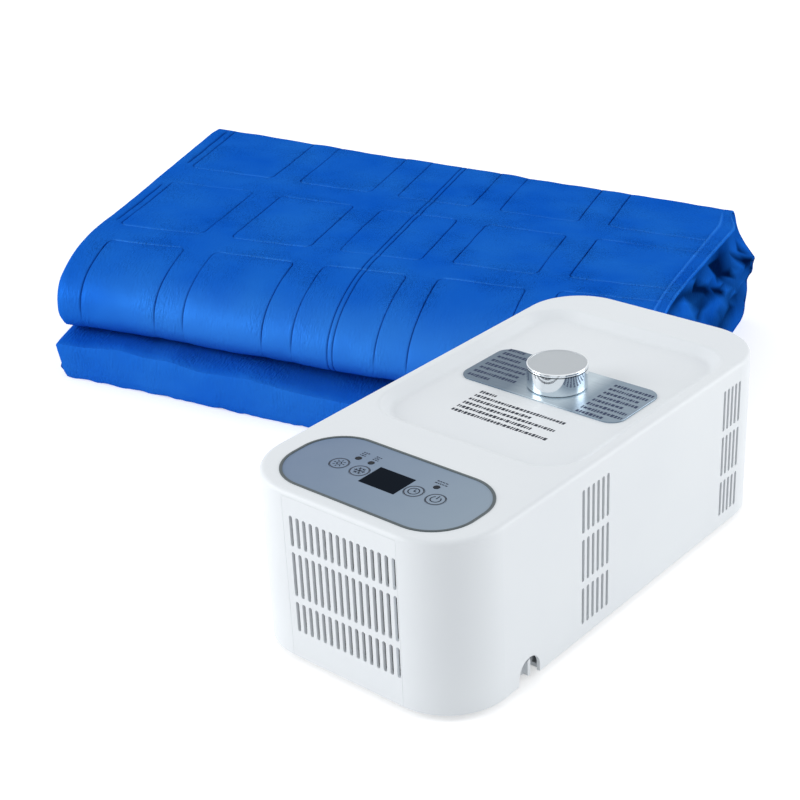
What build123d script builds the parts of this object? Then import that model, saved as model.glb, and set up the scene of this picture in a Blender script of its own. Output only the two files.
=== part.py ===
from build123d import *
import os
from math import cos, radians, sin, sqrt

os.makedirs("parts", exist_ok=True)

# A table-top unit that cools or heats water and pumps it through a folded mattress pad.
# Millimetres. The unit stands on z = 0, its front face is y = 0 and x = 0 is its middle.

# Driving dimensions of the housing
unit_width = 196.0
unit_depth = 394.0
unit_top = 137.0
foot_height = 5.0
corner_r = 48.0
edge_r = 4.0
wall = 2.6
fit_gap = 0.15

half_width = unit_width / 2
inner_top = unit_top - wall
floor_top = foot_height + 3.0
flat_front = half_width - corner_r

# Dish in the top, round the filler cap
dish_width = 178.0
dish_front = 123.0
dish_back = 356.0
dish_r = 34.0
dish_depth = 7.0
dish_slope = 9.0
dish_floor = unit_top - dish_depth
dish_y = (dish_front + dish_back) / 2
dish_length = dish_back - dish_front

# Slotted grilles: three rows of upright slots, round at both ends
slot_width = 3.0
front_slots = 16
front_pitch = 6.0
front_middle = 2.4
front_rows = [(27.2, 51.1), (55.8, 90.8), (95.4, 119.1)]
side_rows = [(15.2, 44.8), (50.0, 83.5), (88.6, 122.3)]
side_groups = [(6, 5.9, 152.2), (5, 5.4, 332.8)]

# Control panel on the top, near the front
panel_y = 48.6
panel_width = 160.0
panel_height = 77.6
panel_r = 33.5
rim = 2.2
button_y = 49.7
button_r = 7.2
button_x = {"heat_button": -42.2, "cool_button": -23.8, "timer_button": 23.8, "power_button": 42.2}
lamp_r = 2.5
lamp_y = 62.8
lamp_x = [-36.3, -24.8, 32.5]
window_width = 31.0
window_height = 23.8
window_y = 50.4
board_top = 128.0

# Filler in the dish
filler_y = 245.0
plate_front = 215.0
plate_back = 277.4
plate_width = 144.0
neck_r = 17.0
neck_bore_r = 14.5
neck_top = 143.0
cap_r = 23.0
cap_top = 149.4

# Tank under the filler
tank_front = 192.0
tank_back = 306.0
tank_half = 78.0
tank_floor = 40.0
tank_lid_z = 115.0
drain_out_x = 70.0
return_x = 50.0
return_z = 100.0

# Parts along the rear wall and the right foot
inlet_x = -22.0
coupling_x = {"outlet_coupling": 14.0, "inlet_coupling": 38.0}
rear_z = 42.0
spigot_r = 5.0
drain_y = 75.0
drain_z = 14.0
recess_r = 11.5
recess_z = 11.0

# Fan behind the front grille
fan_y = 6.5
fan_z = 73.0
fan_size = 92.0
fan_depth = 25.0

# Pump, in line with the tank's outlet
pump_x = 42.0
pump_z = 46.0

# The pad is folded in three both ways and lies behind the unit, turned 20 degrees
pad_angle = 20.0
pad_corner = (-555.0, 215.0)
pad_depth = 433.2
pad_taper = 0.2228
pad_height = 112.0

# Places of the screws that hold the base, and of the feet
screw_spots = [(-80.0, 22.0), (80.0, 22.0), (-80.0, 372.0), (80.0, 372.0)]
foot_spots = [(-68.0, 44.0), (68.0, 44.0), (-68.0, 350.0), (68.0, 350.0)]


# Main housing: one moulded shell, open below and at the front grille
def upright_slots(count, pitch, middle, rows):
    """Rows of slots with round ends, drawn on the active sketch."""
    for low, high in rows:
        with Locations((middle, (low + high) / 2)):
            with GridLocations(pitch, 1, count, 1):
                SlotOverall(high - low, slot_width, rotation=90)


with BuildPart() as cavity:
    with BuildSketch(Plane.XY.offset(foot_height - 1)):
        with Locations((0, unit_depth / 2)):
            RectangleRounded(unit_width - 2 * wall, unit_depth - 2 * wall, corner_r - wall)
    extrude(amount=inner_top - foot_height + 1)
    with BuildSketch(Plane.XY.offset(inner_top)):
        with Locations((0, dish_y)):
            RectangleRounded(dish_width + 2 * wall, dish_length + 2 * wall, dish_r + wall)
    with BuildSketch(Plane.XY.offset(dish_floor - wall)):
        with Locations((0, dish_y)):
            RectangleRounded(dish_width - dish_slope, dish_length - dish_slope, dish_r - dish_slope / 2)
    loft(mode=Mode.SUBTRACT)

with BuildPart() as main_housing:
    with BuildSketch(Plane.XY.offset(foot_height)):
        with Locations((0, unit_depth / 2)):
            RectangleRounded(unit_width, unit_depth, corner_r)
    extrude(amount=unit_top - foot_height)
    fillet(main_housing.edges().group_by(Axis.Z)[-1], radius=edge_r)
    with BuildSketch(Plane.XY.offset(unit_top)):
        with Locations((0, dish_y)):
            RectangleRounded(dish_width, dish_length, dish_r)
    with BuildSketch(Plane.XY.offset(dish_floor)):
        with Locations((0, dish_y)):
            RectangleRounded(
                dish_width - 2 * dish_slope, dish_length - 2 * dish_slope, dish_r - dish_slope
            )
    loft(mode=Mode.SUBTRACT)
    dish_floor_edges = main_housing.edges().filter_by_position(
        Axis.Z, dish_floor - 0.01, dish_floor + 0.01
    )
    fillet(dish_floor_edges, radius=7.0)
    dish_rim_edges = (
        main_housing.edges()
        .filter_by_position(Axis.Z, unit_top - 0.01, unit_top + 0.01)
        .filter_by_position(Axis.Y, dish_front - 1, dish_back + 1)
        .filter_by_position(Axis.X, -dish_width / 2 - 1, dish_width / 2 + 1)
    )
    fillet(dish_rim_edges, radius=4.0)
    add(cavity.part, mode=Mode.SUBTRACT)
    # Opening for the front panel, with a ledge behind each of its long edges
    with BuildSketch(Plane.XZ):
        with Locations((0, (foot_height + unit_top - edge_r) / 2)):
            Rectangle(2 * flat_front - 0.3, unit_top - edge_r - foot_height)
    extrude(amount=-wall, mode=Mode.SUBTRACT)
    with BuildSketch(Plane.XY.offset(floor_top + 0.2)):
        with Locations((-flat_front, wall + 1.2), (flat_front, wall + 1.2)):
            Rectangle(6.0, 2.4)
    extrude(amount=inner_top - floor_top - 0.2)
    # Openings in the top for the control panel and the filler neck
    with BuildSketch(Plane.XY.offset(unit_top)):
        with Locations((0, panel_y)):
            RectangleRounded(panel_width, panel_height, panel_r)
    extrude(amount=-2 * wall, mode=Mode.SUBTRACT)
    with BuildSketch(Plane.XY.offset(dish_floor + 1)):
        with Locations((0, filler_y)):
            Circle(neck_r + 0.6)
    extrude(amount=-wall - 2, mode=Mode.SUBTRACT)
    # Grilles in both sides
    with BuildSketch(Plane.YZ.offset(half_width + 1)):
        for count, pitch, middle in side_groups:
            upright_slots(count, pitch, middle, side_rows)
    extrude(amount=-unit_width - 2, mode=Mode.SUBTRACT)
    # Arched recess for the drain plug at the right foot
    with BuildSketch(Plane.YZ.offset(half_width + 1)):
        with Locations((drain_y, recess_z)):
            Circle(recess_r)
        with Locations((drain_y, recess_z / 2)):
            Rectangle(2 * recess_r, recess_z)
    extrude(amount=-wall - 2, mode=Mode.SUBTRACT)
    # Openings in the rear wall for the mains inlet and the hose couplings
    with BuildSketch(Plane.XZ.offset(-unit_depth - 1)):
        with Locations((inlet_x, rear_z)):
            Rectangle(27.4, 19.9)
        with Locations(*[(x, rear_z) for x in coupling_x.values()]):
            Circle(8.1)
    extrude(amount=wall + 2, mode=Mode.SUBTRACT)
    # Screw bosses that stand down from the top to the base plate
    with BuildSketch(Plane.XY.offset(floor_top)):
        with Locations(*screw_spots):
            Circle(4.5)
    extrude(amount=inner_top - floor_top)
    with BuildSketch(Plane.XY.offset(floor_top)):
        with Locations(*screw_spots):
            Circle(1.5)
    extrude(amount=14.0, mode=Mode.SUBTRACT)

# Front panel: a flat plate between the round corners, with the slots of the air inlet
with BuildPart() as front_panel:
    with BuildSketch(Plane.XZ):
        panel_top = unit_top - edge_r - fit_gap
        with Locations((0, (foot_height + panel_top) / 2)):
            Rectangle(2 * (flat_front - 0.3), panel_top - foot_height)
    extrude(amount=-wall)
    with BuildSketch(Plane.XZ):
        upright_slots(front_slots, front_pitch, front_middle, front_rows)
    extrude(amount=-wall, mode=Mode.SUBTRACT)

# Base plate with its posts, screw holes and the notch at the drain recess
with BuildPart() as base_plate:
    with BuildSketch(Plane.XY.offset(foot_height)):
        with Locations((0, unit_depth / 2)):
            inset = wall + fit_gap
            RectangleRounded(unit_width - 2 * inset, unit_depth - 2 * inset, corner_r - inset)
        with Locations((half_width, drain_y)):
            Rectangle(46.0, 2 * recess_r + 4, mode=Mode.SUBTRACT)
    extrude(amount=floor_top - foot_height)
    # Ribs that carry the fan, posts for the heat sink and the tank, and the pump's saddle
    with BuildSketch(Plane.XY.offset(floor_top)):
        with Locations((-40, fan_y + fan_depth / 2), (40, fan_y + fan_depth / 2)):
            Rectangle(3.0, fan_depth)
    extrude(amount=fan_z - fan_size / 2 - floor_top)
    with BuildSketch(Plane.XY.offset(floor_top)):
        with Locations((0, 71)):
            with GridLocations(78.4, 60, 2, 2):
                Circle(5.0)
    extrude(amount=24.0)
    with BuildSketch(Plane.XY.offset(floor_top)):
        with Locations((0, (tank_front + tank_back) / 2)):
            with GridLocations(120, 88, 2, 2):
                Circle(5.0)
    extrude(amount=tank_floor - floor_top)
    with BuildSketch(Plane.XY.offset(floor_top)):
        with Locations((pump_x, 142)):
            Rectangle(30, 26)
    extrude(amount=pump_z - 17.0 - floor_top)
    with BuildSketch(Plane.XY.offset(foot_height)):
        with Locations(*screw_spots):
            Circle(1.7)
    extrude(amount=3.0, mode=Mode.SUBTRACT)
    with BuildSketch(Plane.XY.offset(foot_height)):
        with Locations(*screw_spots):
            Circle(3.4)
    extrude(amount=1.8, mode=Mode.SUBTRACT)

with BuildPart() as base_screws:
    with BuildSketch(Plane.XY.offset(foot_height + 0.2)):
        with Locations(*screw_spots):
            Circle(3.2)
    extrude(amount=1.6)
    with BuildSketch(Plane.XY.offset(foot_height + 1.8)):
        with Locations(*screw_spots):
            Circle(1.5)
    extrude(amount=14.0)

with BuildPart() as rubber_feet:
    with BuildSketch(Plane.XY):
        with Locations(*foot_spots):
            Circle(9.0)
    extrude(amount=foot_height)
    chamfer(rubber_feet.edges().group_by(Axis.Z)[0], length=0.8)

# Control panel: a bezel with a ledge, the panel in it, buttons, window and lamps
with BuildPart() as control_bezel:
    with BuildSketch(Plane.XY.offset(inner_top)):
        with Locations((0, panel_y)):
            RectangleRounded(panel_width - 0.1, panel_height - 0.1, panel_r - 0.05)
            RectangleRounded(
                panel_width - 2 * rim, panel_height - 2 * rim, panel_r - rim, mode=Mode.SUBTRACT
            )
    extrude(amount=unit_top + 0.5 - inner_top)
    chamfer(control_bezel.edges().group_by(Axis.Z)[-1], length=0.3)
    with BuildSketch(Plane.XY.offset(inner_top - 2.0)):
        with Locations((0, panel_y)):
            RectangleRounded(panel_width + 2.6, panel_height + 2.6, panel_r + 1.3)
            RectangleRounded(
                panel_width - 2 * rim - 5,
                panel_height - 2 * rim - 5,
                panel_r - rim - 2.5,
                mode=Mode.SUBTRACT,
            )
    extrude(amount=2.0)
    with BuildSketch(Plane.XY.offset(inner_top)):
        with Locations((0, panel_y)):
            RectangleRounded(panel_width - 2, panel_height - 2, panel_r - 1)
            RectangleRounded(
                panel_width - 2 * rim - 5,
                panel_height - 2 * rim - 5,
                panel_r - rim - 2.5,
                mode=Mode.SUBTRACT,
            )
    extrude(amount=1.0)
    with BuildSketch(Plane.XY.offset(board_top)):
        with Locations((0, panel_y)):
            with GridLocations(84, panel_height - 6.4, 2, 2):
                Circle(2.6)
    extrude(amount=inner_top - 2.0 - board_top)

with BuildPart() as control_panel:
    with BuildSketch(Plane.XY.offset(inner_top + 1.0)):
        with Locations((0, panel_y)):
            edge = 2 * rim + 0.1
            RectangleRounded(panel_width - edge, panel_height - edge, panel_r - edge / 2)
        with Locations(*[(x, button_y) for x in button_x.values()]):
            Circle(button_r + 0.35, mode=Mode.SUBTRACT)
        with Locations(*[(x, lamp_y) for x in lamp_x]):
            Circle(lamp_r + 0.05, mode=Mode.SUBTRACT)
        with Locations((0, window_y)):
            Rectangle(window_width + 0.1, window_height + 0.1, mode=Mode.SUBTRACT)
    extrude(amount=1.6)

buttons = {}
for button_name, x in button_x.items():
    with BuildPart() as button:
        with BuildSketch(Plane.XY.offset(inner_top + 0.5)):
            with Locations((x, button_y)):
                Circle(button_r)
        extrude(amount=2.2)
        fillet(button.edges().group_by(Axis.Z)[-1], radius=0.4)
        with BuildSketch(Plane.XY.offset(inner_top - 0.3)):
            with Locations((x, button_y)):
                Circle(button_r + 1.4)
        extrude(amount=1.0)
        with BuildSketch(Plane.XY.offset(board_top + 4.0)):
            with Locations((x, button_y)):
                Circle(2.0)
        extrude(amount=inner_top - board_top - 4.0)
    buttons[button_name] = button

with BuildPart() as display_window:
    with BuildSketch(Plane.XY.offset(unit_top - 1.1)):
        with Locations((0, window_y)):
            Rectangle(window_width, window_height)
    extrude(amount=1.1)

with BuildPart() as display_module:
    with BuildSketch(Plane.XY.offset(board_top)):
        with Locations((0, window_y)):
            Rectangle(window_width - 2.2, window_height - 2.2)
    extrude(amount=unit_top - 1.1 - board_top)

with BuildPart() as status_lamps:
    with BuildSketch(Plane.XY.offset(board_top)):
        with Locations(*[(x, lamp_y) for x in lamp_x]):
            Circle(lamp_r)
    extrude(amount=unit_top + 0.1 - board_top)
    fillet(status_lamps.edges().group_by(Axis.Z)[-1], radius=0.5)

with BuildPart() as control_board:
    with BuildSketch(Plane.XY.offset(board_top - 1.6)):
        with Locations((0, panel_y)):
            RectangleRounded(panel_width - 5, panel_height - 2, panel_r - 2)
    extrude(amount=1.6)

with BuildPart() as push_switches:
    with BuildSketch(Plane.XY.offset(board_top)):
        with Locations(*[(x, button_y) for x in button_x.values()]):
            Rectangle(6.0, 6.0)
    extrude(amount=3.0)
    with BuildSketch(Plane.XY.offset(board_top + 3.0)):
        with Locations(*[(x, button_y) for x in button_x.values()]):
            Circle(1.7)
    extrude(amount=0.3)

# Filler: metal plate in the dish, tank with a neck, cap and gasket
with BuildPart() as filler_plate:
    with BuildSketch(Plane.XY.offset(dish_floor)):
        with Locations((0, (plate_front + plate_back) / 2)):
            RectangleRounded(plate_width, plate_back - plate_front, 12.0)
        with Locations((0, filler_y)):
            Circle(neck_r + 0.6, mode=Mode.SUBTRACT)
    extrude(amount=1.0)
    chamfer(filler_plate.edges().group_by(Axis.Z)[-1], length=0.25)

with BuildPart() as tank_lid:
    with BuildSketch(Plane.XY.offset(tank_lid_z)):
        with Locations((0, (tank_front + tank_back) / 2)):
            RectangleRounded(2 * tank_half, tank_back - tank_front, 10.0)
    extrude(amount=3.0)
    with BuildSketch(Plane.XY.offset(tank_lid_z)):
        with Locations((0, filler_y)):
            Circle(neck_r)
    extrude(amount=neck_top - tank_lid_z)
    with BuildSketch(Plane.XY.offset(tank_lid_z)):
        with Locations((0, filler_y)):
            Circle(neck_bore_r)
    extrude(amount=neck_top - tank_lid_z, mode=Mode.SUBTRACT)
    chamfer(tank_lid.edges().group_by(Axis.Z)[-1], length=0.6)

with BuildPart() as tank_body:
    with BuildSketch(Plane.XY.offset(tank_floor)):
        with Locations((0, (tank_front + tank_back) / 2)):
            RectangleRounded(2 * tank_half, tank_back - tank_front, 10.0)
    extrude(amount=tank_lid_z - tank_floor)
    fillet(tank_body.edges().group_by(Axis.Z)[0], radius=5.0)
    offset(openings=tank_body.faces().sort_by(Axis.Z)[-1], amount=-2.4)
    # Barbs: pump suction and drain at the front, return at the back
    with BuildSketch(Plane.XZ.offset(-tank_front)):
        with Locations((pump_x, pump_z), (drain_out_x, pump_z)):
            Circle(4.0)
    extrude(amount=10.0)
    with BuildSketch(Plane.XZ.offset(-tank_front - 3)):
        with Locations((pump_x, pump_z), (drain_out_x, pump_z)):
            Circle(2.6)
    extrude(amount=13.0, mode=Mode.SUBTRACT)
    with BuildSketch(Plane.XZ.offset(-tank_back)):
        with Locations((return_x, return_z)):
            Circle(4.0)
    extrude(amount=-10.0)
    with BuildSketch(Plane.XZ.offset(-tank_back + 3)):
        with Locations((return_x, return_z)):
            Circle(2.6)
    extrude(amount=-13.0, mode=Mode.SUBTRACT)

with BuildPart() as tank_cap:
    with BuildSketch(Plane.XZ.offset(-filler_y)):
        with BuildLine():
            Polyline(
                (neck_r + 0.35, dish_floor + 1.2),
                (cap_r - 0.6, dish_floor + 1.2),
                (cap_r, dish_floor + 2.0),
                (cap_r, cap_top - 2.2),
            )
            ThreePointArc((cap_r, cap_top - 2.2), (cap_r - 0.35, cap_top - 1.9), (cap_r, cap_top - 1.6))
            Line((cap_r, cap_top - 1.6), (cap_r, cap_top - 0.6))
            ThreePointArc((cap_r, cap_top - 0.6), (cap_r - 0.18, cap_top - 0.18), (cap_r - 0.6, cap_top))
            Polyline(
                (cap_r - 0.6, cap_top),
                (cap_r - 1.6, cap_top),
                (cap_r - 1.9, cap_top - 0.3),
                (0, cap_top - 0.3),
                (0, cap_top - 4.6),
                (neck_r + 0.35, cap_top - 4.6),
                (neck_r + 0.35, dish_floor + 1.2),
            )
        make_face()
    revolve(axis=Axis((0, filler_y, 0), (0, 0, 1)))

with BuildPart() as cap_gasket:
    with BuildSketch(Plane.XY.offset(neck_top + 0.1)):
        with Locations((0, filler_y)):
            Circle(neck_r)
            Circle(neck_bore_r - 2, mode=Mode.SUBTRACT)
    extrude(amount=cap_top - 4.7 - neck_top - 0.1)

# Level switch: a stem from the lid and a float that rides on it
level_spot = (-58.0, 215.0)
with BuildPart() as level_stem:
    with BuildSketch(Plane.XY.offset(52.0)):
        with Locations(level_spot):
            Circle(3.0)
    extrude(amount=tank_lid_z - 52.0)
    with BuildSketch(Plane.XY.offset(52.0)):
        with Locations(level_spot):
            Circle(5.0)
    extrude(amount=1.6)

with BuildPart() as level_float:
    with BuildSketch(Plane.XY.offset(53.7)):
        with Locations(level_spot):
            Circle(10.0)
            Circle(3.6, mode=Mode.SUBTRACT)
    extrude(amount=14.0)
    fillet(level_float.edges().filter_by(GeomType.CIRCLE).group_by(SortBy.RADIUS)[-1], radius=2.0)

# Drain: an elbow behind the recess and a plug with a pull tab
drain_barb_x = 81.5
with BuildPart() as drain_seat:
    with BuildSketch(Plane.YZ.offset(76.0)):
        with Locations((drain_y, drain_z)):
            Circle(7.0)
    extrude(amount=12.0)
    with BuildSketch(Plane.YZ.offset(88.0)):
        with Locations((drain_y, 16.6)):
            RectangleRounded(30.0, 17.0, 3.0)
    extrude(amount=1.8)
    with BuildSketch(Plane.XZ.offset(-drain_y - 5.0)):
        with Locations((drain_barb_x, drain_z)):
            Circle(4.0)
    extrude(amount=-12.5)
    with BuildSketch(Plane.YZ.offset(78.5)):
        with Locations((drain_y, drain_z)):
            Circle(5.0)
    extrude(amount=12.0, mode=Mode.SUBTRACT)
    with BuildSketch(Plane.XZ.offset(-drain_y - 3.0)):
        with Locations((drain_barb_x, drain_z)):
            Circle(2.6)
    extrude(amount=-16.0, mode=Mode.SUBTRACT)

with BuildPart() as drain_plug:
    with BuildSketch(Plane.YZ.offset(84.0)):
        with Locations((drain_y, drain_z)):
            Circle(4.94)
    extrude(amount=6.0)
    with BuildSketch(Plane.YZ.offset(89.9)):
        with Locations((drain_y, drain_z)):
            Circle(7.0)
    extrude(amount=3.6)
    fillet(drain_plug.edges().group_by(Axis.X)[-1], radius=0.8)
    with BuildSketch(Plane.YZ.offset(93.4)):
        with Locations((drain_y, drain_z)):
            RectangleRounded(3.0, 13.0, 1.2)
    extrude(amount=4.0)

# Rear couplings: a flanged spigot through the wall, hose barbs at both ends
couplings = {}
for coupling_name, x in coupling_x.items():
    with BuildPart() as coupling:
        with BuildSketch(Plane.XY.offset(rear_z)):
            with BuildLine():
                Polyline(
                    (x + 3.0, unit_depth - 24),
                    (x + 4.0, unit_depth - 24),
                    (x + 4.0, unit_depth - 10),
                    (x + 8.0, unit_depth - 10),
                    (x + 8.0, unit_depth),
                    (x + 11.0, unit_depth),
                    (x + 11.0, unit_depth + 3),
                    (x + spigot_r, unit_depth + 3),
                    (x + spigot_r, unit_depth + 17),
                    (x + spigot_r - 0.8, unit_depth + 19),
                    (x + 3.0, unit_depth + 19),
                    (x + 3.0, unit_depth - 24),
                )
            make_face()
        revolve(axis=Axis((x, 0, rear_z), (0, 1, 0)))
    couplings[coupling_name] = coupling

# Mains inlet with three blades
blade_spots = [(inlet_x - 7, rear_z - 1.5), (inlet_x, rear_z + 2.5), (inlet_x + 7, rear_z - 1.5)]
with BuildPart() as power_inlet:
    with BuildSketch(Plane.XZ.offset(-unit_depth)):
        with Locations((inlet_x, rear_z)):
            RectangleRounded(48.5, 23.0, 4.0)
    extrude(amount=-2.5)
    with BuildSketch(Plane.XZ.offset(-unit_depth)):
        with Locations((inlet_x, rear_z)):
            Rectangle(27.0, 19.5)
    extrude(amount=20.0)
    with BuildSketch(Plane.XZ.offset(-unit_depth - 2.5)):
        with Locations((inlet_x, rear_z)):
            Rectangle(24.2, 16.6)
    extrude(amount=19.0, mode=Mode.SUBTRACT)
    with BuildSketch(Plane.XZ.offset(-unit_depth + 22)):
        with Locations(*blade_spots):
            Rectangle(2.0, 4.0)
    extrude(amount=-12.0, mode=Mode.SUBTRACT)

with BuildPart() as inlet_pins:
    with BuildSketch(Plane.XZ.offset(-unit_depth + 26)):
        with Locations(*blade_spots):
            Rectangle(2.0, 4.0)
    extrude(amount=-25.0)

with BuildPart() as power_supply:
    with BuildSketch(Plane.XY.offset(floor_top)):
        with Locations((-39, 340)):
            RectangleRounded(90.0, 50.0, 2.0)
    extrude(amount=56.0)
    with BuildSketch(Plane.XY.offset(floor_top + 56.0)):
        with Locations((-39, 340)):
            with GridLocations(8, 1, 9, 1):
                Rectangle(3.0, 34.0)
    extrude(amount=-1.5, mode=Mode.SUBTRACT)

# Fan: a square frame with a motor seat on four struts, and a seven-blade rotor
fan_front = Plane(origin=(0, fan_y, fan_z), x_dir=(1, 0, 0), z_dir=(0, 1, 0))
with BuildPart(fan_front) as fan_frame:
    with BuildSketch(fan_front):
        RectangleRounded(fan_size, fan_size, 4.0)
        Circle(43.5, mode=Mode.SUBTRACT)
        with GridLocations(82.5, 82.5, 2, 2):
            Circle(2.15, mode=Mode.SUBTRACT)
    extrude(amount=fan_depth)
    with BuildSketch(fan_front.offset(fan_depth - 3.5)):
        Circle(17.0)
        with PolarLocations(30.5, 4, start_angle=45):
            Rectangle(30.0, 4.0)
    extrude(amount=3.5)
    with BuildSketch(fan_front.offset(7.0)):
        Circle(3.6)
    extrude(amount=fan_depth - 7.0)
    with BuildSketch(fan_front.offset(7.0)):
        Circle(1.55)
    extrude(amount=fan_depth - 7.0, mode=Mode.SUBTRACT)

with BuildPart() as fan_blade:
    with BuildSketch(Plane.YZ.offset(16.5)):
        with Locations((0, 11.0)):
            Rectangle(1.6, 19.0, rotation=38)
    with BuildSketch(Plane.YZ.offset(41.0)):
        with Locations((0, 11.0)):
            Rectangle(1.2, 24.0, rotation=62)
    loft()

with BuildPart(fan_front) as fan_rotor:
    with BuildSketch(fan_front.offset(2.0)):
        Circle(17.5)
    extrude(amount=18.0)
    with BuildSketch(fan_front.offset(3.5)):
        Circle(15.8)
    extrude(amount=17.0, mode=Mode.SUBTRACT)
    with BuildSketch(fan_front.offset(3.0)):
        Circle(1.5)
    extrude(amount=20.0)
    with PolarLocations(0, 7):
        add(fan_blade.part)

# Cooling stack: finned heat sink, two cooling modules and the water block on them
with BuildPart() as heat_sink:
    with BuildSketch(Plane.XZ.offset(-34)):
        with Locations((0, 87)):
            Rectangle(92.0, 6.0)
        with Locations((0, 58)):
            with GridLocations(5.6, 1, 17, 1):
                Rectangle(1.4, 52.0)
    extrude(amount=-74.0)

with BuildPart() as cooling_modules:
    with BuildSketch(Plane.XY.offset(90.0)):
        with Locations((-22, 71), (22, 71)):
            Rectangle(40.0, 40.0)
    extrude(amount=3.8)

block_barb_x = [-25.0, 25.0]
block_z = 99.8
with BuildPart() as water_block:
    with BuildSketch(Plane.XY.offset(93.8)):
        with Locations((0, 71)):
            RectangleRounded(88.0, 66.0, 3.0)
    extrude(amount=12.0)
    with BuildSketch(Plane.XZ.offset(-104)):
        with Locations(*[(x, block_z) for x in block_barb_x]):
            Circle(4.0)
    extrude(amount=-16.0)
    with BuildSketch(Plane.XZ.offset(-98)):
        with Locations(*[(x, block_z) for x in block_barb_x]):
            Circle(2.6)
    extrude(amount=-22.0, mode=Mode.SUBTRACT)

# Pump: a motor can, a round chamber with spigots, and the impeller inside
pump_back = Plane(origin=(pump_x, 158, pump_z), x_dir=(1, 0, 0), z_dir=(0, 1, 0))
with BuildPart(pump_back) as pump_housing:
    with BuildSketch(pump_back.offset(-30)):
        Circle(17.0)
    extrude(amount=30.0)
    with BuildSketch(pump_back):
        Circle(19.0)
        with Locations((12, -14)):
            Rectangle(10.0, 28.0)
    extrude(amount=14.0)
    with BuildSketch(pump_back.offset(14)):
        Circle(4.0)
    extrude(amount=10.0)
    with BuildSketch(pump_back.offset(1.5)):
        Circle(16.5)
    extrude(amount=11.0, mode=Mode.SUBTRACT)
    with BuildSketch(pump_back.offset(12)):
        Circle(2.6)
    extrude(amount=12.0, mode=Mode.SUBTRACT)
    with BuildSketch(pump_back.offset(-8)):
        Circle(1.55)
    extrude(amount=10.0, mode=Mode.SUBTRACT)
    with BuildSketch(Plane.XY.offset(pump_z + 28)):
        with Locations((pump_x + 12, 165)):
            Circle(4.0)
    extrude(amount=9.0)
    with BuildSketch(Plane.XY.offset(pump_z + 8)):
        with Locations((pump_x + 12, 165)):
            Circle(2.6)
    extrude(amount=30.0, mode=Mode.SUBTRACT)

with BuildPart(pump_back) as pump_impeller:
    with BuildSketch(pump_back.offset(2.5)):
        Circle(14.5)
    extrude(amount=1.6)
    with BuildSketch(pump_back.offset(4.1)):
        Circle(4.0)
        with PolarLocations(8.5, 6):
            Rectangle(11.0, 1.4, rotation=24)
    extrude(amount=6.0)
    with BuildSketch(pump_back.offset(-7.5)):
        Circle(1.5)
    extrude(amount=12.0)


# Hoses inside the housing, each pushed over the barbs at its ends
hose_r = 5.5
hose_bore_r = 4.0
hose_routes = {
    "suction_hose": ([(pump_x, 172.5, pump_z), (pump_x, 191.5, pump_z)], 0),
    "pressure_hose": (
        [(54, 165, pump_z + 29), (54, 165, block_z), (25, 150, block_z), (25, 105, block_z)],
        9.0,
    ),
    "outlet_hose": (
        [
            (-25, 105, block_z),
            (-25, 140, block_z),
            (-87, 176, block_z),
            (-87, 332, block_z),
            (coupling_x["outlet_coupling"], 346, block_z),
            (coupling_x["outlet_coupling"], 346, rear_z),
            (coupling_x["outlet_coupling"], 383, rear_z),
        ],
        12.0,
    ),
    "return_hose": (
        [
            (coupling_x["inlet_coupling"], 383, rear_z),
            (coupling_x["inlet_coupling"], 344, rear_z),
            (return_x, 344, return_z),
            (return_x, 307, return_z),
        ],
        12.0,
    ),
    "drain_hose": (
        [
            (drain_out_x, 191, pump_z),
            (drain_out_x, 150, pump_z),
            (drain_barb_x, 112, drain_z),
            (drain_barb_x, 82.5, drain_z),
        ],
        16.0,
    ),
}
hoses = {}
for hose_name, (route, bend_r) in hose_routes.items():
    start = Vector(*route[0])
    heading = (Vector(*route[1]) - start).normalized()
    with BuildPart() as hose:
        with BuildLine() as hose_path:
            if bend_r:
                FilletPolyline(*route, radius=bend_r)
            else:
                Line(*route)
        with BuildSketch(Plane(origin=start, z_dir=heading)):
            Circle(hose_r)
            Circle(hose_bore_r, mode=Mode.SUBTRACT)
        sweep()
    hoses[hose_name] = hose

# Folded pad. Its own frame runs along the fold (u), back from the fold (v) and up.
fold_dir = Vector(cos(radians(pad_angle)), sin(radians(pad_angle)), 0)
back_dir = Vector(-fold_dir.Y, fold_dir.X, 0)
pad_origin = Vector(pad_corner[0], pad_corner[1], 0)


def depth_at(u, lean=0.0):
    """Depth of the stack, which tapers along the fold, across a plane that leans that way."""
    return (pad_depth - pad_taper * u) / (1 + pad_taper * lean)


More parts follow.
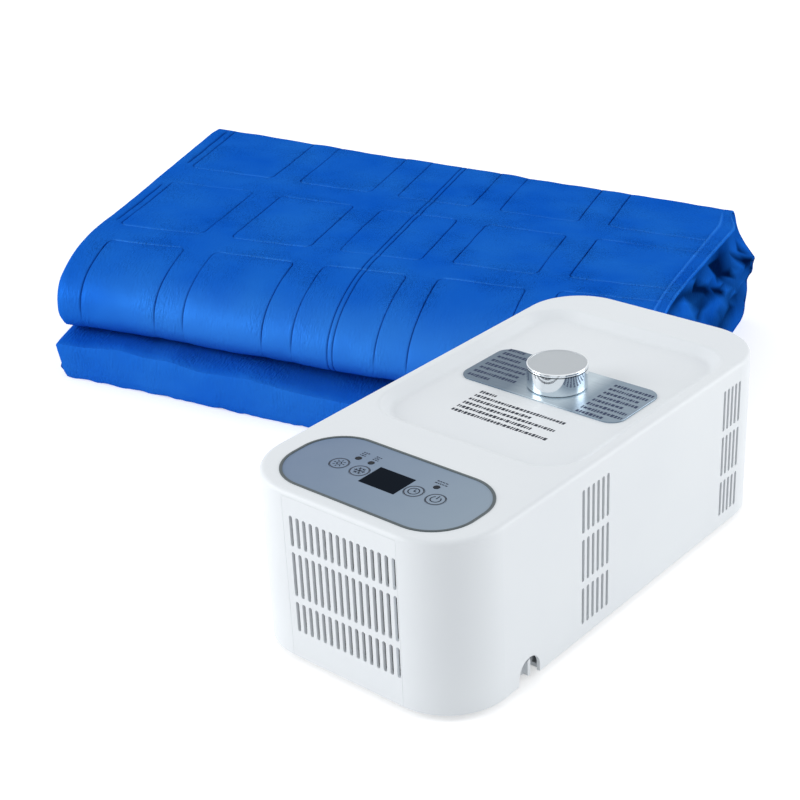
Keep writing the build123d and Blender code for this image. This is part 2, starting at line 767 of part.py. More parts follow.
def pad_section(u, lean, upper, lower, inset, rise):
    """Outline of the stack across the fold: a thin lower third and two thirds folded over it.
    The plane leans along the fold. Two shifts move the fronts of the upper and lower thirds,
    the inset draws the outline in, and the rise is the share of the height."""
    stretch = sqrt(1 + lean**2)
    far = depth_at(u, lean) - inset
    plane = Plane(
        origin=pad_origin + fold_dir * u,
        x_dir=back_dir + fold_dir * lean,
        z_dir=fold_dir - back_dir * lean,
    )

    def at(v, z, shift=0.0):
        return ((inset + v + shift) * stretch, z * rise)

    def back(v, z):
        return ((far - v) * stretch, z * rise)

    top = at(92, pad_height, 0.05 * upper)
    brow = at(9, 84, 0.68 * upper)
    lip = at(16, 44, upper)
    shelf = at(24, 37, lower)
    chin = at(0.5, 22, lower)
    heel = at(12, 0, lower)
    with BuildSketch(plane) as outline:
        with BuildLine():
            Line(heel, back(16, 0))
            ThreePointArc(back(16, 0), back(2, 12), back(0, 36))
            ThreePointArc(back(0, 36), back(4, 62), back(22, 73))
            Line(back(22, 73), back(58, 74.5))
            Line(back(58, 74.5), back(16, 77))
            ThreePointArc(back(16, 77), back(6, 92), back(14, pad_height))
            Line(back(14, pad_height), top)
            ThreePointArc(top, at(40, 104, 0.31 * upper), brow)
            ThreePointArc(brow, at(1, 62, 0.91 * upper), lip)
            crease = at(66, 40.5, (upper + lower) / 2)
            Line(lip, crease)
            Line(crease, shelf)
            ThreePointArc(shelf, at(8, 32, lower), chin)
            ThreePointArc(chin, at(1.5, 8, lower), heel)
        make_face()
    return outline.sketch


# Each row: place along the fold, lean, shifts of the upper and lower front, inset and rise.
# The front bulges towards the unit and draws back where it passes the unit's round corner.
pad_sections = [
    pad_section(-4, -0.092, 0, -5, 6, 0.985),
    pad_section(8, -0.08, 0, -13, 0, 1),
    pad_section(60, -0.034, 0, -25, 0, 1),
    pad_section(93, -0.02, 1, -29, 0, 1),
    pad_section(175, 0, -9, -38, 0, 1),
    pad_section(255, 0, -20, -48, 0, 1),
    pad_section(329, 0, -32, -56, 0, 1),
    pad_section(400, 0, -36, -52, 0, 1),
    pad_section(460, 0.013, -22, -26, 0, 1),
    pad_section(475, 0.018, -15, -17, 0, 1),
    pad_section(490, 0.024, -8, -8, 0, 1),
    pad_section(505, 0.032, -1, -1, 0, 1),
    pad_section(519, 0.04, 1, 1, 0, 1),
    pad_section(545, 0.067, 1, 1, 0, 1),
    pad_section(562, 0.1, 1, 1, 2, 0.99),
    pad_section(573, 0.11, 1, 1, 12, 0.93),
]

# Weld lines on the top of the pad: two rows of round-cornered cells, and a double line
pad_top = Plane(origin=pad_origin + Vector(0, 0, pad_height), x_dir=fold_dir, z_dir=(0, 0, 1))
cell_width = 82.0
cell_pitch = 115.5
cell_rows = [(0.262, 0.567), (0.7, 1.02)]
groove = 2.4
groove_depth = 0.9
weld_u = 286.5

with BuildPart() as folded_pad:
    loft(sections=pad_sections, ruled=True)
    with BuildSketch(pad_top):
        for column in range(5):
            cell_u = 57 + column * cell_pitch
            for near, far in cell_rows:
                near, far = near * depth_at(cell_u), far * depth_at(cell_u)
                with Locations((cell_u, (near + far) / 2)):
                    RectangleRounded(cell_width, far - near, 12.0)
                    RectangleRounded(
                        cell_width - 2 * groove, far - near - 2 * groove, 12.0 - groove, mode=Mode.SUBTRACT
                    )
        with Locations((weld_u - 2.6, 230), (weld_u + 2.6, 230)):
            Rectangle(1.6, 280)
    extrude(amount=-groove_depth, mode=Mode.SUBTRACT)

# Two welded ports at the back edge of the pad's lower third
ports = {}
for port_name, u in {"pad_inlet_port": 430.0, "pad_outlet_port": 480.0}.items():
    port_base = pad_origin + fold_dir * u + back_dir * (depth_at(u) - 3.0) + Vector(0, 0, 34.0)
    port_plane = Plane(origin=port_base, x_dir=fold_dir, z_dir=back_dir)
    with BuildPart(port_plane) as port:
        with BuildSketch(port_plane):
            Circle(9.0)
        extrude(amount=8.0)
        with BuildSketch(port_plane.offset(8.0)):
            Circle(4.5)
        extrude(amount=18.0)
        with BuildSketch(port_plane.offset(1.0)):
            Circle(2.8)
        extrude(amount=25.0, mode=Mode.SUBTRACT)
    ports[port_name] = port

pieces = {
    "main_housing": main_housing,
    "front_panel": front_panel,
    "base_plate": base_plate,
    "base_screws": base_screws,
    "rubber_feet": rubber_feet,
    "control_bezel": control_bezel,
    "control_panel": control_panel,
    "display_window": display_window,
    "display_module": display_module,
    "status_lamps": status_lamps,
    "control_board": control_board,
    "push_switches": push_switches,
    "filler_plate": filler_plate,
    "tank_lid": tank_lid,
    "tank_body": tank_body,
    "tank_cap": tank_cap,
    "cap_gasket": cap_gasket,
    "level_stem": level_stem,
    "level_float": level_float,
    "drain_seat": drain_seat,
    "drain_plug": drain_plug,
    "power_inlet": power_inlet,
    "inlet_pins": inlet_pins,
    "power_supply": power_supply,
    "fan_frame": fan_frame,
    "fan_rotor": fan_rotor,
    "heat_sink": heat_sink,
    "cooling_modules": cooling_modules,
    "water_block": water_block,
    "pump_housing": pump_housing,
    "pump_impeller": pump_impeller,
    "folded_pad": folded_pad,
    **buttons,
    **couplings,
    **hoses,
    **ports,
}

# The set's own origin is on the floor, halfway along its overall width and depth
boxes = [piece.part.bounding_box() for piece in pieces.values()]
middle_x = (min(box.min.X for box in boxes) + max(box.max.X for box in boxes)) / 2
middle_y = (min(box.min.Y for box in boxes) + max(box.max.Y for box in boxes)) / 2
print("middle of the set", round(middle_x, 4), round(middle_y, 4))
for name, piece in pieces.items():
    placed = piece.part.moved(Location((-middle_x, -middle_y, 0)))
    placed.label = name
    export_step(placed, f"parts/{name}.step")
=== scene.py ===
# %% [markdown]
# # A water cooling mattress pad
# The object is a white table-top unit that cools or heats water, and the blue welded pad
# that the water runs through, folded up beside it. The hard pieces come from the CAD model
# as they are and get their finishes here. The pad is soft, so its skin is worked out here as
# a surface and stands for the plain CAD solid. Everything is in metres, with the floor at z = 0.

from math import cos, pi, radians, sin

import bpy
import numpy as np
from mathutils import Matrix, Vector
from mathutils.geometry import delaunay_2d_cdt


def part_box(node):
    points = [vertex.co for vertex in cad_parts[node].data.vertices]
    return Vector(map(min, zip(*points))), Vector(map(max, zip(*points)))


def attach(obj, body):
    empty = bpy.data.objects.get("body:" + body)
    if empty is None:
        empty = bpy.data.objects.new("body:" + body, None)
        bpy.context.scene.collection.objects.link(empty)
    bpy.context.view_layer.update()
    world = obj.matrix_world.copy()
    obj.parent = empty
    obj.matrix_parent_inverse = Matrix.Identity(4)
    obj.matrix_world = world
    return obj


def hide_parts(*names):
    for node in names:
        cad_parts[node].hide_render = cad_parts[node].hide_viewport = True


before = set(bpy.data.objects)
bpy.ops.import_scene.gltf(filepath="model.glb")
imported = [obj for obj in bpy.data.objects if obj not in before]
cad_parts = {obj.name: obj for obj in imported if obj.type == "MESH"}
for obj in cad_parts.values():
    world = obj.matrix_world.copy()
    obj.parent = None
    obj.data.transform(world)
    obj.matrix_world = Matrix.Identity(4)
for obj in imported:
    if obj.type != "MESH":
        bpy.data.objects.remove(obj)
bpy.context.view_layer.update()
MM = 0.001

# %% [markdown]
# ## Where things are
# The unit's own drawing has x = 0 in its middle and y = 0 at its front face. The housing's box
# gives that point in the frame, so the lengths below can be written in the drawing's millimetres
# and stay right if the whole model is moved.

# %% The unit's and the pad's own axes
housing_low, housing_high = (np.array(corner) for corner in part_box("main_housing"))
unit_zero = np.array([(housing_low[0] + housing_high[0]) / 2, housing_low[1], 0.0])
PAD_ANGLE = radians(20.0)
PAD_CORNER = np.array([-555.0, 215.0, 0.0])
along_fold = np.array([cos(PAD_ANGLE), sin(PAD_ANGLE), 0.0])
across_fold = np.array([-sin(PAD_ANGLE), cos(PAD_ANGLE), 0.0])


def on_unit(points):
    """Points in the unit's drawing, in millimetres, moved to the frame and scaled to metres."""
    return unit_zero + np.asarray(points, float) * MM


def on_pad(along, across, up):
    """Point of the pad: so far along its fold, so far back from it, and so high."""
    place = (
        PAD_CORNER
        + along[..., None] * along_fold
        + across[..., None] * across_fold
        + up[..., None] * np.array([0.0, 0.0, 1.0])
    )
    return on_unit(place)


def put(name, data):
    """New object with this mesh, light or camera, put in the scene."""
    made = bpy.data.objects.new(name, data)
    bpy.context.scene.collection.objects.link(made)
    return made


print("the unit's zero is at", unit_zero.round(4))

# %% [markdown]
# ## Camera
# The place and the tilt of the camera were solved from the unit's straight edges in the picture.
# The lens is a long one, about 74 mm on a 36 mm sensor, so the unit's sides hardly converge. The
# small shift puts the lens axis where the solution has it.

# %% Camera
AZIMUTH, ELEVATION, ROLL = 0.7201, 0.4535, -0.0456
FOCAL_PIXELS, AXIS_X, AXIS_Y, FRAME_PIXELS = 1649.6, 406.0, 392.0, 800.0
SENSOR = 36.0
CAMERA_PLACE = [644.293, -660.840, 669.382]
back = np.array([sin(AZIMUTH) * cos(ELEVATION), -cos(AZIMUTH) * cos(ELEVATION), sin(ELEVATION)])
level = np.array([cos(AZIMUTH), sin(AZIMUTH), 0.0])
upward = np.cross(back, level)
right = cos(ROLL) * level + sin(ROLL) * upward
upright = -sin(ROLL) * level + cos(ROLL) * upward
camera_data = bpy.data.cameras.new("camera")
camera = put("camera", camera_data)
camera_data.sensor_width = SENSOR
camera_data.lens = FOCAL_PIXELS / FRAME_PIXELS * SENSOR
camera_data.shift_x = (FRAME_PIXELS / 2 - AXIS_X) / FRAME_PIXELS
camera_data.shift_y = (AXIS_Y - FRAME_PIXELS / 2) / FRAME_PIXELS
turn = Matrix(np.column_stack([right, upright, back]).tolist()).to_4x4()
camera.matrix_world = Matrix.Translation(on_unit(CAMERA_PLACE).tolist()) @ turn
bpy.context.scene.camera = camera
print("lens", round(camera_data.lens, 2), "mm")

# %% [markdown]
# ## Light and floor
# The unit has pale walls and a darker rounded corner that faces the camera, so the light comes
# from two sides: one large soft box stands at the front left, one at the back right, in an even
# pale room. The floor is plain and pale. It takes soft shadows, and a little glow that only
# camera, mirror and glass rays see lifts it to the white of the studio's ground.

# %% Soft boxes and room
BOX_DISTANCE, BOX_HEIGHT, BOX_SIZE, AIM_HEIGHT = 2.4, 1.0, 1.5, 0.08
ROOM_TINT, ROOM_LIGHT, WHITE = (0.96, 0.98, 1.0, 1.0), 0.655, (1.0, 1.0, 1.0, 1.0)


def soft_box(name, toward, watts):
    """Square area light on the given bearing from the object's middle, aimed at the middle."""
    data = bpy.data.lights.new(name, "AREA")
    data.size = BOX_SIZE
    data.energy = watts
    lamp = put(name, data)
    aim = Vector((0.0, 0.0, AIM_HEIGHT))
    ahead, aside = cos(radians(toward)), sin(radians(toward))
    lamp.location = Vector((ahead * BOX_DISTANCE, aside * BOX_DISTANCE, BOX_HEIGHT))
    lamp.rotation_euler = (aim - lamp.location).to_track_quat("-Z", "Y").to_euler()


def feed(tree, socket, value):
    """Link an output to the socket, or set the number or colour on it."""
    if isinstance(value, bpy.types.NodeSocket):
        tree.links.new(value, socket)
    else:
        socket.default_value = value


def add_node(tree, kind, *values, **settings):
    """New shader node with its own settings, and its first inputs fed with the values."""
    made = tree.nodes.new("ShaderNode" + kind)
    for key, value in settings.items():
        setattr(made, key, value)
    for socket, value in zip(made.inputs, values):
        feed(tree, socket, value)
    return made


def seen_rays(tree):
    """1 for rays that show a thing to the camera, straight, mirrored or through glass, else 0."""
    rays = add_node(tree, "LightPath").outputs
    seen = rays["Is Camera Ray"]
    for kind in ("Is Glossy Ray", "Is Transmission Ray"):
        seen = add_node(tree, "Math", seen, rays[kind], operation="MAXIMUM").outputs[0]
    return seen


soft_box("front_left_box", -132.0, 33.5)
soft_box("back_right_box", 38.0, 22.0)

room = bpy.data.worlds.new("room")
bpy.context.scene.world = room
room.use_nodes = True
tree = room.node_tree
tree.nodes.clear()
even = add_node(tree, "Background", ROOM_TINT, ROOM_LIGHT).outputs[0]
ground = add_node(tree, "Background", WHITE, 1.0).outputs[0]
choose = add_node(tree, "MixShader", seen_rays(tree), even, ground)
add_node(tree, "OutputWorld", choose.outputs[0])

# %% Floor
FLOOR_GREY, FLOOR_GLOW, FLOOR_HALF = (0.9, 0.9, 0.9, 1.0), 0.42, 12.0


def floor_paint():
    """Pale matt floor: diffuse near-white, plus a small glow for the rays that show it."""
    paint = bpy.data.materials.new("floor_paint")
    paint.use_nodes = True
    tree = paint.node_tree
    tree.nodes.clear()
    matt = add_node(tree, "BsdfDiffuse", FLOOR_GREY).outputs[0]
    share = add_node(tree, "Math", seen_rays(tree), FLOOR_GLOW, operation="MULTIPLY").outputs[0]
    glow = add_node(tree, "Emission", WHITE, share).outputs[0]
    both = add_node(tree, "AddShader", matt, glow)
    add_node(tree, "OutputMaterial", both.outputs[0])
    return paint


floor_mesh = bpy.data.meshes.new("floor")
corners = [(x * FLOOR_HALF, y * FLOOR_HALF, 0.0) for x, y in ((-1, -1), (1, -1), (1, 1), (-1, 1))]
floor_mesh.from_pydata(corners, [], [(0, 1, 2, 3)])
floor_mesh.materials.append(floor_paint())
floor = put("floor", floor_mesh)
bpy.context.scene.view_settings.view_transform = "Standard"
print("floor", 2 * FLOOR_HALF, "m wide")

# %% [markdown]
# ## Finishes
# A moulded or sheet-metal surface is never one flat colour: the colour drifts a little over a
# hand's width, the gloss varies, and the mould or the rolling mill leaves a fine grain. One helper
# builds all of this from noise on Object coordinates, so that nothing slides when a piece moves
# and no UV map is needed. What is the same all over is set straight on the shader's own sockets.


# %% Helper: a material under construction
class Finish:
    """A Principled shader with short ways to add nodes to it."""

    def __init__(self, name, roughness, metallic=0.0, specular=0.5):
        self.material = bpy.data.materials.new(name)
        self.material.use_nodes = True
        self.tree = self.material.node_tree
        self.shader = self.tree.nodes["Principled BSDF"]
        self.set("Roughness", roughness)
        self.set("Metallic", metallic)
        self.set("Specular IOR Level", specular)
        self.place = self.node("TexCoord").outputs["Object"]
        self.relief = None

    def node(self, kind, *values, **settings):
        """Add a node to this material."""
        return add_node(self.tree, kind, *values, **settings)

    def set(self, name, value):
        """Feed one of the shader's own sockets."""
        feed(self.tree, self.shader.inputs[name], value)

    def math(self, operation, *values):
        """Operation on numbers, outputs or both."""
        return self.node("Math", *values, operation=operation).outputs[0]

    def noise(self, scale, detail=3.0, stretch=(1.0, 1.0, 1.0)):
        """Noise of so many cells a metre; a stretch over 1 draws it out along that axis."""
        mapping = self.node("Mapping", self.place)
        mapping.inputs["Scale"].default_value = [1.0 / s for s in stretch]
        made = self.node("TexNoise", mapping.outputs[0])
        made.inputs["Scale"].default_value = scale
        made.inputs["Detail"].default_value = detail
        return made.outputs["Fac"]

    def ramp(self, value, low, high, from_low=0.3, from_high=0.7):
        """Value carried from one range to another and held at the ends."""
        return self.node("MapRange", value, from_low, from_high, low, high).outputs["Result"]

    def mix(self, factor, first, second):
        """First colour where the factor is 0, second colour where it is 1."""
        made = self.node("Mix", data_type="RGBA")
        for name, value in (("Factor", factor), ("A", first), ("B", second)):
            feed(self.tree, made.inputs[name], value)
        return made.outputs["Result"]

    def across(self, start, end):
        """Goes from 0 to 1 between two places x of the unit's drawing."""
        ends = (float(unit_zero[0]) + x * MM for x in (start, end))
        return self.ramp(self.node("SeparateXYZ", self.place).outputs["X"], 0.0, 1.0, *ends)

    def from_axis(self, x, y):
        """Distance from the upright line at (x, y) of the unit's drawing, and the height."""
        axis = on_unit([x, y, 0.0]).tolist()
        shift = self.node("VectorMath", self.place, axis, operation="SUBTRACT").outputs[0]
        flat = self.node("VectorMath", shift, (1.0, 1.0, 0.0), operation="MULTIPLY").outputs[0]
        reach = self.node("VectorMath", flat, operation="LENGTH")
        return reach.outputs["Value"], self.node("SeparateXYZ", shift).outputs["Z"]

    def bump(self, height, depth, strength=1.0):
        """Add one more layer of relief, depth in metres for a height of one."""
        made = self.node("Bump", strength, depth)
        feed(self.tree, made.inputs["Height"], height)
        if self.relief is not None:
            feed(self.tree, made.inputs["Normal"], self.relief)
        self.relief = made.outputs["Normal"]
        self.set("Normal", self.relief)


print("helper", Finish.__name__)

# %% [markdown]
# ## The two common finishes
# Nearly every hard piece is either moulded or rolled, so two functions make all of these. Both
# take two close tones instead of one colour, since the eye reads small drifts as a real surface.


# %% Moulded plastic and rolled metal
STREAKS = 2600.0  # cells a metre
painted = []


def rgb(r, g, b):
    """Colour as a painter would read it off a screen, 0 to 255, turned into linear light."""
    c = np.array([r, g, b]) / 255.0
    linear = np.where(c <= 0.04045, c / 12.92, ((c + 0.055) / 1.055) ** 2.4)
    return (*linear.tolist(), 1.0)


def moulded(name, light, dark, roughness, grain=1500.0, grain_depth=2e-5, **more):
    """Moulded plastic or rubber: colour drifts between two tones, roughness by 8% either way,
    and a fine even grain covers it."""
    finish = Finish(name, roughness, **more)
    drift = finish.ramp(finish.noise(9.0), 0.0, 1.0)
    finish.set("Base Color", finish.mix(drift, light, dark))
    finish.set("Roughness", finish.ramp(finish.noise(40.0), roughness * 0.92, roughness * 1.08))
    finish.bump(finish.noise(grain, detail=2.0), grain_depth)
    return finish


def rolled_metal(name, light, dark, roughness, stretch):
    """Rolled or brushed metal: fine streaks along one axis in colour, gloss and relief."""
    finish = Finish(name, roughness, metallic=1.0)
    streaks = finish.noise(STREAKS, detail=2.0, stretch=stretch)
    finish.set("Base Color", finish.mix(streaks, light, dark))
    finish.set("Roughness", finish.ramp(streaks, roughness * 0.85, roughness * 1.2))
    finish.bump(streaks, 1.5e-5)
    return finish


def paint(finish, *nodes):
    """Give CAD nodes one finish in all their slots."""
    for node in nodes:
        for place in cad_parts[node].material_slots:
            place.material = finish.material
    painted.extend(nodes)


print("a grey of 128 is", round(rgb(128, 128, 128)[0], 3), "in linear light")

# %% [markdown]
# ## The unit's plastics and metals
# The housing is a satin white moulding with a slight cool cast. The hidden pieces inside get the
# finish that such pieces have, because they show when the unit is taken apart: green board, black
# fan, milky tank, extruded aluminium.

# %% Finishes of the housing and of the inner pieces
finish = moulded("housing_white", rgb(236, 240, 243), rgb(233, 237, 241), 0.42, 2600.0, 1.2e-5)
paint(finish, "main_housing", "front_panel")
finish = moulded("base_white", rgb(222, 226, 229), rgb(214, 219, 223), 0.5)
paint(finish, "base_plate")
finish = moulded("foot_rubber", rgb(70, 72, 76), rgb(56, 58, 62), 0.75, 900.0, 6e-5)
paint(finish, "rubber_feet", "cap_gasket")
finish = rolled_metal("screw_steel", rgb(190, 193, 198), rgb(160, 163, 168), 0.32, (1, 1, 1))
paint(finish, "base_screws", "inlet_pins")
finish = moulded("bezel_dark", rgb(84, 95, 99), rgb(70, 81, 85), 0.3, 2200.0, 1e-5, specular=0.3)
paint(finish, "control_bezel")
finish = moulded("window_black", rgb(13, 22, 33), rgb(9, 17, 27), 0.12, 3000.0, 2e-6, specular=0.01)
paint(finish, "display_window")
finish = moulded("lamp_lens", rgb(18, 28, 40), rgb(10, 18, 28), 0.25, 3000.0, 4e-6, specular=0.1)
paint(finish, "status_lamps")
finish = moulded("board_green", rgb(20, 110, 62), rgb(12, 84, 48), 0.42, 700.0, 3e-5)
paint(finish, "control_board")
finish = moulded("black_moulding", rgb(44, 46, 50), rgb(34, 36, 40), 0.5, 1600.0, 3e-5)
paint(finish, "display_module", "push_switches", "power_inlet")
paint(finish, "fan_frame", "fan_rotor", "pump_housing")
finish = moulded("tank_milk", rgb(226, 232, 235), rgb(212, 221, 226), 0.38)
paint(finish, "tank_lid", "tank_body", "level_stem", "level_float", "pump_impeller")
finish = moulded("drain_white", rgb(226, 230, 233), rgb(214, 219, 224), 0.45)
paint(finish, "drain_seat", "drain_plug")
finish = rolled_metal("supply_steel", rgb(176, 178, 182), rgb(150, 152, 157), 0.4, (12, 1, 1))
paint(finish, "power_supply")
finish = rolled_metal("sink_aluminium", rgb(206, 208, 212), rgb(184, 187, 192), 0.36, (1, 14, 1))
paint(finish, "heat_sink", "water_block")
finish = moulded("ceramic_white", rgb(236, 236, 230), rgb(222, 222, 214), 0.55)
paint(finish, "cooling_modules")
finish = moulded("hose_silicone", rgb(214, 221, 226), rgb(198, 207, 214), 0.3)
paint(finish, "suction_hose", "pressure_hose", "outlet_hose", "return_hose", "drain_hose")
finish = moulded("coupling_grey", rgb(150, 158, 164), rgb(134, 142, 149), 0.45)
paint(finish, "outlet_coupling", "inlet_coupling", "pad_inlet_port", "pad_outlet_port")
print("painted", len(painted), "nodes")

# %% [markdown]
# ## Control panel
# The panel is a matt film over the plastic. A painted reflection makes it bluer at its left end
# and paler at its right. The bezel is a dark rim that stands round it. Each button shows a thin
# dark ring: the ring is a band of the button's own material, found by the distance from its
# centre, so it sinks with the button.

# %% Panel film and button rings
PANEL_REFLECTION_LEFT, PANEL_REFLECTION_RIGHT = rgb(108, 129, 158), rgb(142, 159, 175)
PANEL_INK = rgb(30, 38, 54)
BUTTON_X = {"heat": -42.2, "cool": -23.8, "timer": 23.8, "power": 42.2}
BUTTON_Y, RING_R, RING_HALF = 49.7, 6.6, 0.42
PANEL_HALF, PANEL_HAZE = 76.0, rgb(166, 178, 192)


def panel_film(name):
    """Matt printed film, with a painted reflection that carries its colour from left to right
    across the panel.
    """
    finish = Finish(name, 0.45, specular=0.3)
    # Painted reflection: the film goes from the left end's colour to the right end's across the
    # panel
    tone = finish.mix(finish.across(-PANEL_HALF, PANEL_HALF), PANEL_REFLECTION_LEFT, PANEL_REFLECTION_RIGHT)
    drift = finish.ramp(finish.noise(22.0), 0.0, 0.1)
    film = finish.mix(drift, tone, PANEL_HAZE)
    finish.bump(finish.noise(3200.0, detail=1.0), 8e-6)
    return finish, film


panel_finish, panel_reflected_film = panel_film("panel_film")
panel_finish.set("Base Color", panel_reflected_film)
paint(panel_finish, "control_panel")
for name, x in BUTTON_X.items():
    key_film, film = panel_film(name + "_film")
    reach, _ = key_film.from_axis(x, BUTTON_Y)
    ring = key_film.math("COMPARE", reach, RING_R * MM, RING_HALF * MM)
    key_film.set("Base Color", key_film.mix(ring, film, PANEL_INK))
    paint(key_film, name + "_button")
print("rings on", list(BUTTON_X))

# %% [markdown]
# ## Printed signs and notes
# The signs on the buttons are thin printed shapes: a sun, a snowflake, a clock face and the usual
# power sign. Each rides on its button. Small bars stand for the notes beside the lamps, on the
# plate and in the dish. A print is a film 0.05 mm thick, so one helper turns flat outlines into
# thin prisms, and the outlines themselves are straight strokes and arcs. Each film starts a
# hundredth of a millimetre under the surface that it lies on, so that no gap shows.

# %% Helpers: strokes, arcs and thin prints
FILM, FILM_UNDER = 0.05, 0.01


def stroke(start, end, width):
    """Outline of a straight stroke between two points."""
    start, end = np.array(start, float), np.array(end, float)
    ahead = (end - start) / np.hypot(*(end - start))
    aside = np.array([-ahead[1], ahead[0]]) * width / 2
    return np.array([start - aside, end - aside, end + aside, start + aside])


def arc(centre, radius, start, end, width):
    """Outline of an arc stroke between two angles in degrees."""
    turns = np.radians(np.linspace(start, end, 17))
    ray = np.column_stack([np.cos(turns), np.sin(turns)])
    outer = np.array(centre) + ray * (radius + width / 2)
    inner = np.array(centre) + ray * (radius - width / 2)
    return np.vstack([outer, inner[::-1]])


def spoke(degrees):
    """Direction at this angle, 1 long."""
    return np.array([cos(radians(degrees)), sin(radians(degrees))])


def circle(centre, radius, width):
    """Ring in two halves."""
    return [arc(centre, radius, 0, 180, width), arc(centre, radius, 180, 360, width)]


def thin_print(name, outlines, surface, material, body):
    """Closed outlines (x, y), counter-clockwise in the unit's drawing, as thin prisms in one
    piece that lies on the surface's height and rides on the body."""
    bottom = surface - FILM_UNDER
    points, faces, total = [], [], 0
    for outline in outlines:
        count = len(outline)
        ring = np.arange(count) + total
        for level in (bottom, bottom + FILM):
            points.append(np.column_stack([outline, np.full(count, level)]))
        after = np.roll(ring, -1)
        walls = np.stack([ring, after, after + count, ring + count], -1)
        faces += [ring[::-1].tolist(), (ring + count).tolist(), *walls.tolist()]
        total += 2 * count
    mesh = bpy.data.meshes.new(name)
    mesh.from_pydata(on_unit(np.vstack(points)).tolist(), [], faces)
    mesh.materials.append(material)
    piece = put(name, mesh)
    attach(piece, body)


def note_bars(rows, height, longest, seed):
    """Outlines of bars in rows (x start, x end, y): each row is cut in bars of random length, up
    to the longest, with gaps of 0.28 of it."""
    pick = np.random.default_rng(seed)
    bars = []
    for start, end, y in rows:
        x = start
        while x < end - 1.0:
            stop = min(x + pick.uniform(0.35, 1.0) * longest, end)
            bars.append(stroke((x, y), (stop, y), height * pick.uniform(0.7, 1.0)))
            x = stop + 0.28 * longest
    return bars


print("a print stands", round(FILM - FILM_UNDER, 2), "mm over its surface")

# %% The four signs and the notes beside the lamps
ink = moulded("panel_ink", PANEL_INK, rgb(38, 46, 62), 0.6, specular=0.1)
sun = circle((0, 0), 1.7, 0.75)
sun += [stroke(2.9 * spoke(a), 4.6 * spoke(a), 0.75) for a in range(0, 360, 45)]
flake = []
for a in range(0, 360, 60):
    flake.append(stroke((0, 0), 4.6 * spoke(a), 0.65))
    for barb in spoke(a + 50), spoke(a - 50):
        flake.append(stroke(2.5 * spoke(a), 2.5 * spoke(a) + 1.8 * barb, 0.6))
clock = circle((0, 0), 3.9, 0.8)
clock += [stroke((0, -0.35), (0, 2.7), 0.75), stroke((-0.3, 0), (2.1, 0), 0.75)]
power = [arc((0, 0), 3.6, -235, 55, 0.85), stroke((0, 0.6), (0, 4.8), 0.85)]
for name, sign in (("heat", sun), ("cool", flake), ("timer", clock), ("power", power)):
    top = (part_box(name + "_button")[1][2] - unit_zero[2]) / MM
    outlines = [outline + np.array([BUTTON_X[name], BUTTON_Y]) for outline in sign]
    thin_print(name + "_sign", outlines, top, ink.material, name + "_key")

panel_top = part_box("control_panel")[1][2] / MM
lamp_rows = [(x - 2.6, x + 2.6, y) for x in (-36.3, -24.8) for y in (67.4, 69.5, 71.6)]
lamp_rows += [(27.4, 37.6, y) for y in (67.6, 70.2)]
lamp_notes = note_bars(lamp_rows, height=1.2, longest=2.2, seed=3)
thin_print("lamp_notes", lamp_notes, panel_top, ink.material, "control_unit")
print("signs on", list(BUTTON_X), "and", len(lamp_notes), "bars by the lamps")

# %% [markdown]
# ## Filler plate and cap
# The plate is brushed aluminium with a blue-grey coat, brushed along its length, and a paler band
# crosses it at the cap: that band and the middle tone to its right are a painted reflection. The
# cap is one turned piece: its side is mirror chrome and its top is a satin disc inside a thin
# bright rim, so one material holds both and tells them apart by height and by distance from the
# axis. A thin dark band round the side under the rim is a painted dark reflection.

# %% Plate
PLATE_COAT, PLATE_STREAK = rgb(110, 127, 143), rgb(70, 84, 100)
# Painted reflection: the coat grows paler up to the cap and turns to a middle tone to its right
PLATE_REFLECTION_BANDS = (-28.0, 4.0, rgb(196, 210, 219)), (18.0, 32.0, rgb(138, 155, 170))
plate = Finish("plate_metal", 0.34, metallic=1.0)
streaks = plate.noise(STREAKS, detail=2.0, stretch=(30, 1, 1))
coat_and_reflection = PLATE_COAT
for start, end, shade in PLATE_REFLECTION_BANDS:
    coat_and_reflection = plate.mix(plate.across(start, end), coat_and_reflection, shade)
coat_and_reflection = plate.mix(plate.ramp(streaks, 0.0, 0.16), coat_and_reflection, PLATE_STREAK)
plate.set("Base Color", coat_and_reflection)
plate.set("Roughness", plate.ramp(streaks, 0.29, 0.41))
plate.bump(streaks, 6e-6)
paint(plate, "filler_plate")
print("plate's band runs from x =", PLATE_REFLECTION_BANDS[0][0], "to", PLATE_REFLECTION_BANDS[1][1], "mm")

# %% Cap
FILLER = (0.0, 245.0)
CAP_DISC_FROM, CAP_DISC_R = 148.8, 22.2
CAP_DARK_BAND_Z, CAP_DARK_BAND_HALF, TURNING_PITCH = 146.6, 0.35, 0.35
chrome = Finish("cap_chrome", 0.05, metallic=1.0)
radius, height = chrome.from_axis(*FILLER)
on_top = chrome.math("GREATER_THAN", height, CAP_DISC_FROM * MM)
disc = chrome.math("MULTIPLY", on_top, chrome.math("LESS_THAN", radius, CAP_DISC_R * MM))
turns = chrome.math("MULTIPLY", radius, 2 * pi / (TURNING_PITCH * MM))
turning = chrome.math("SINE", turns)
chrome.bump(chrome.math("MULTIPLY", turning, disc), 1.5e-6)
# Painted dark reflection: a thin dark band round the chrome side just under the rim
in_dark_band = chrome.math("COMPARE", height, CAP_DARK_BAND_Z * MM, CAP_DARK_BAND_HALF * MM)
dark_reflection_band = chrome.math("MULTIPLY", in_dark_band, chrome.math("GREATER_THAN", radius, CAP_DISC_R * MM))
steel = chrome.mix(disc, rgb(236, 241, 245), rgb(184, 190, 195))
chrome.set("Base Color", chrome.mix(dark_reflection_band, steel, rgb(44, 54, 62)))
smudge = chrome.ramp(chrome.noise(60.0), 0.04, 0.08)
satin = chrome.ramp(chrome.noise(90.0), 0.34, 0.4)
more = chrome.math("SUBTRACT", satin, smudge)
chrome.set("Roughness", chrome.math("MULTIPLY_ADD", disc, more, smudge))
paint(chrome, "tank_cap")

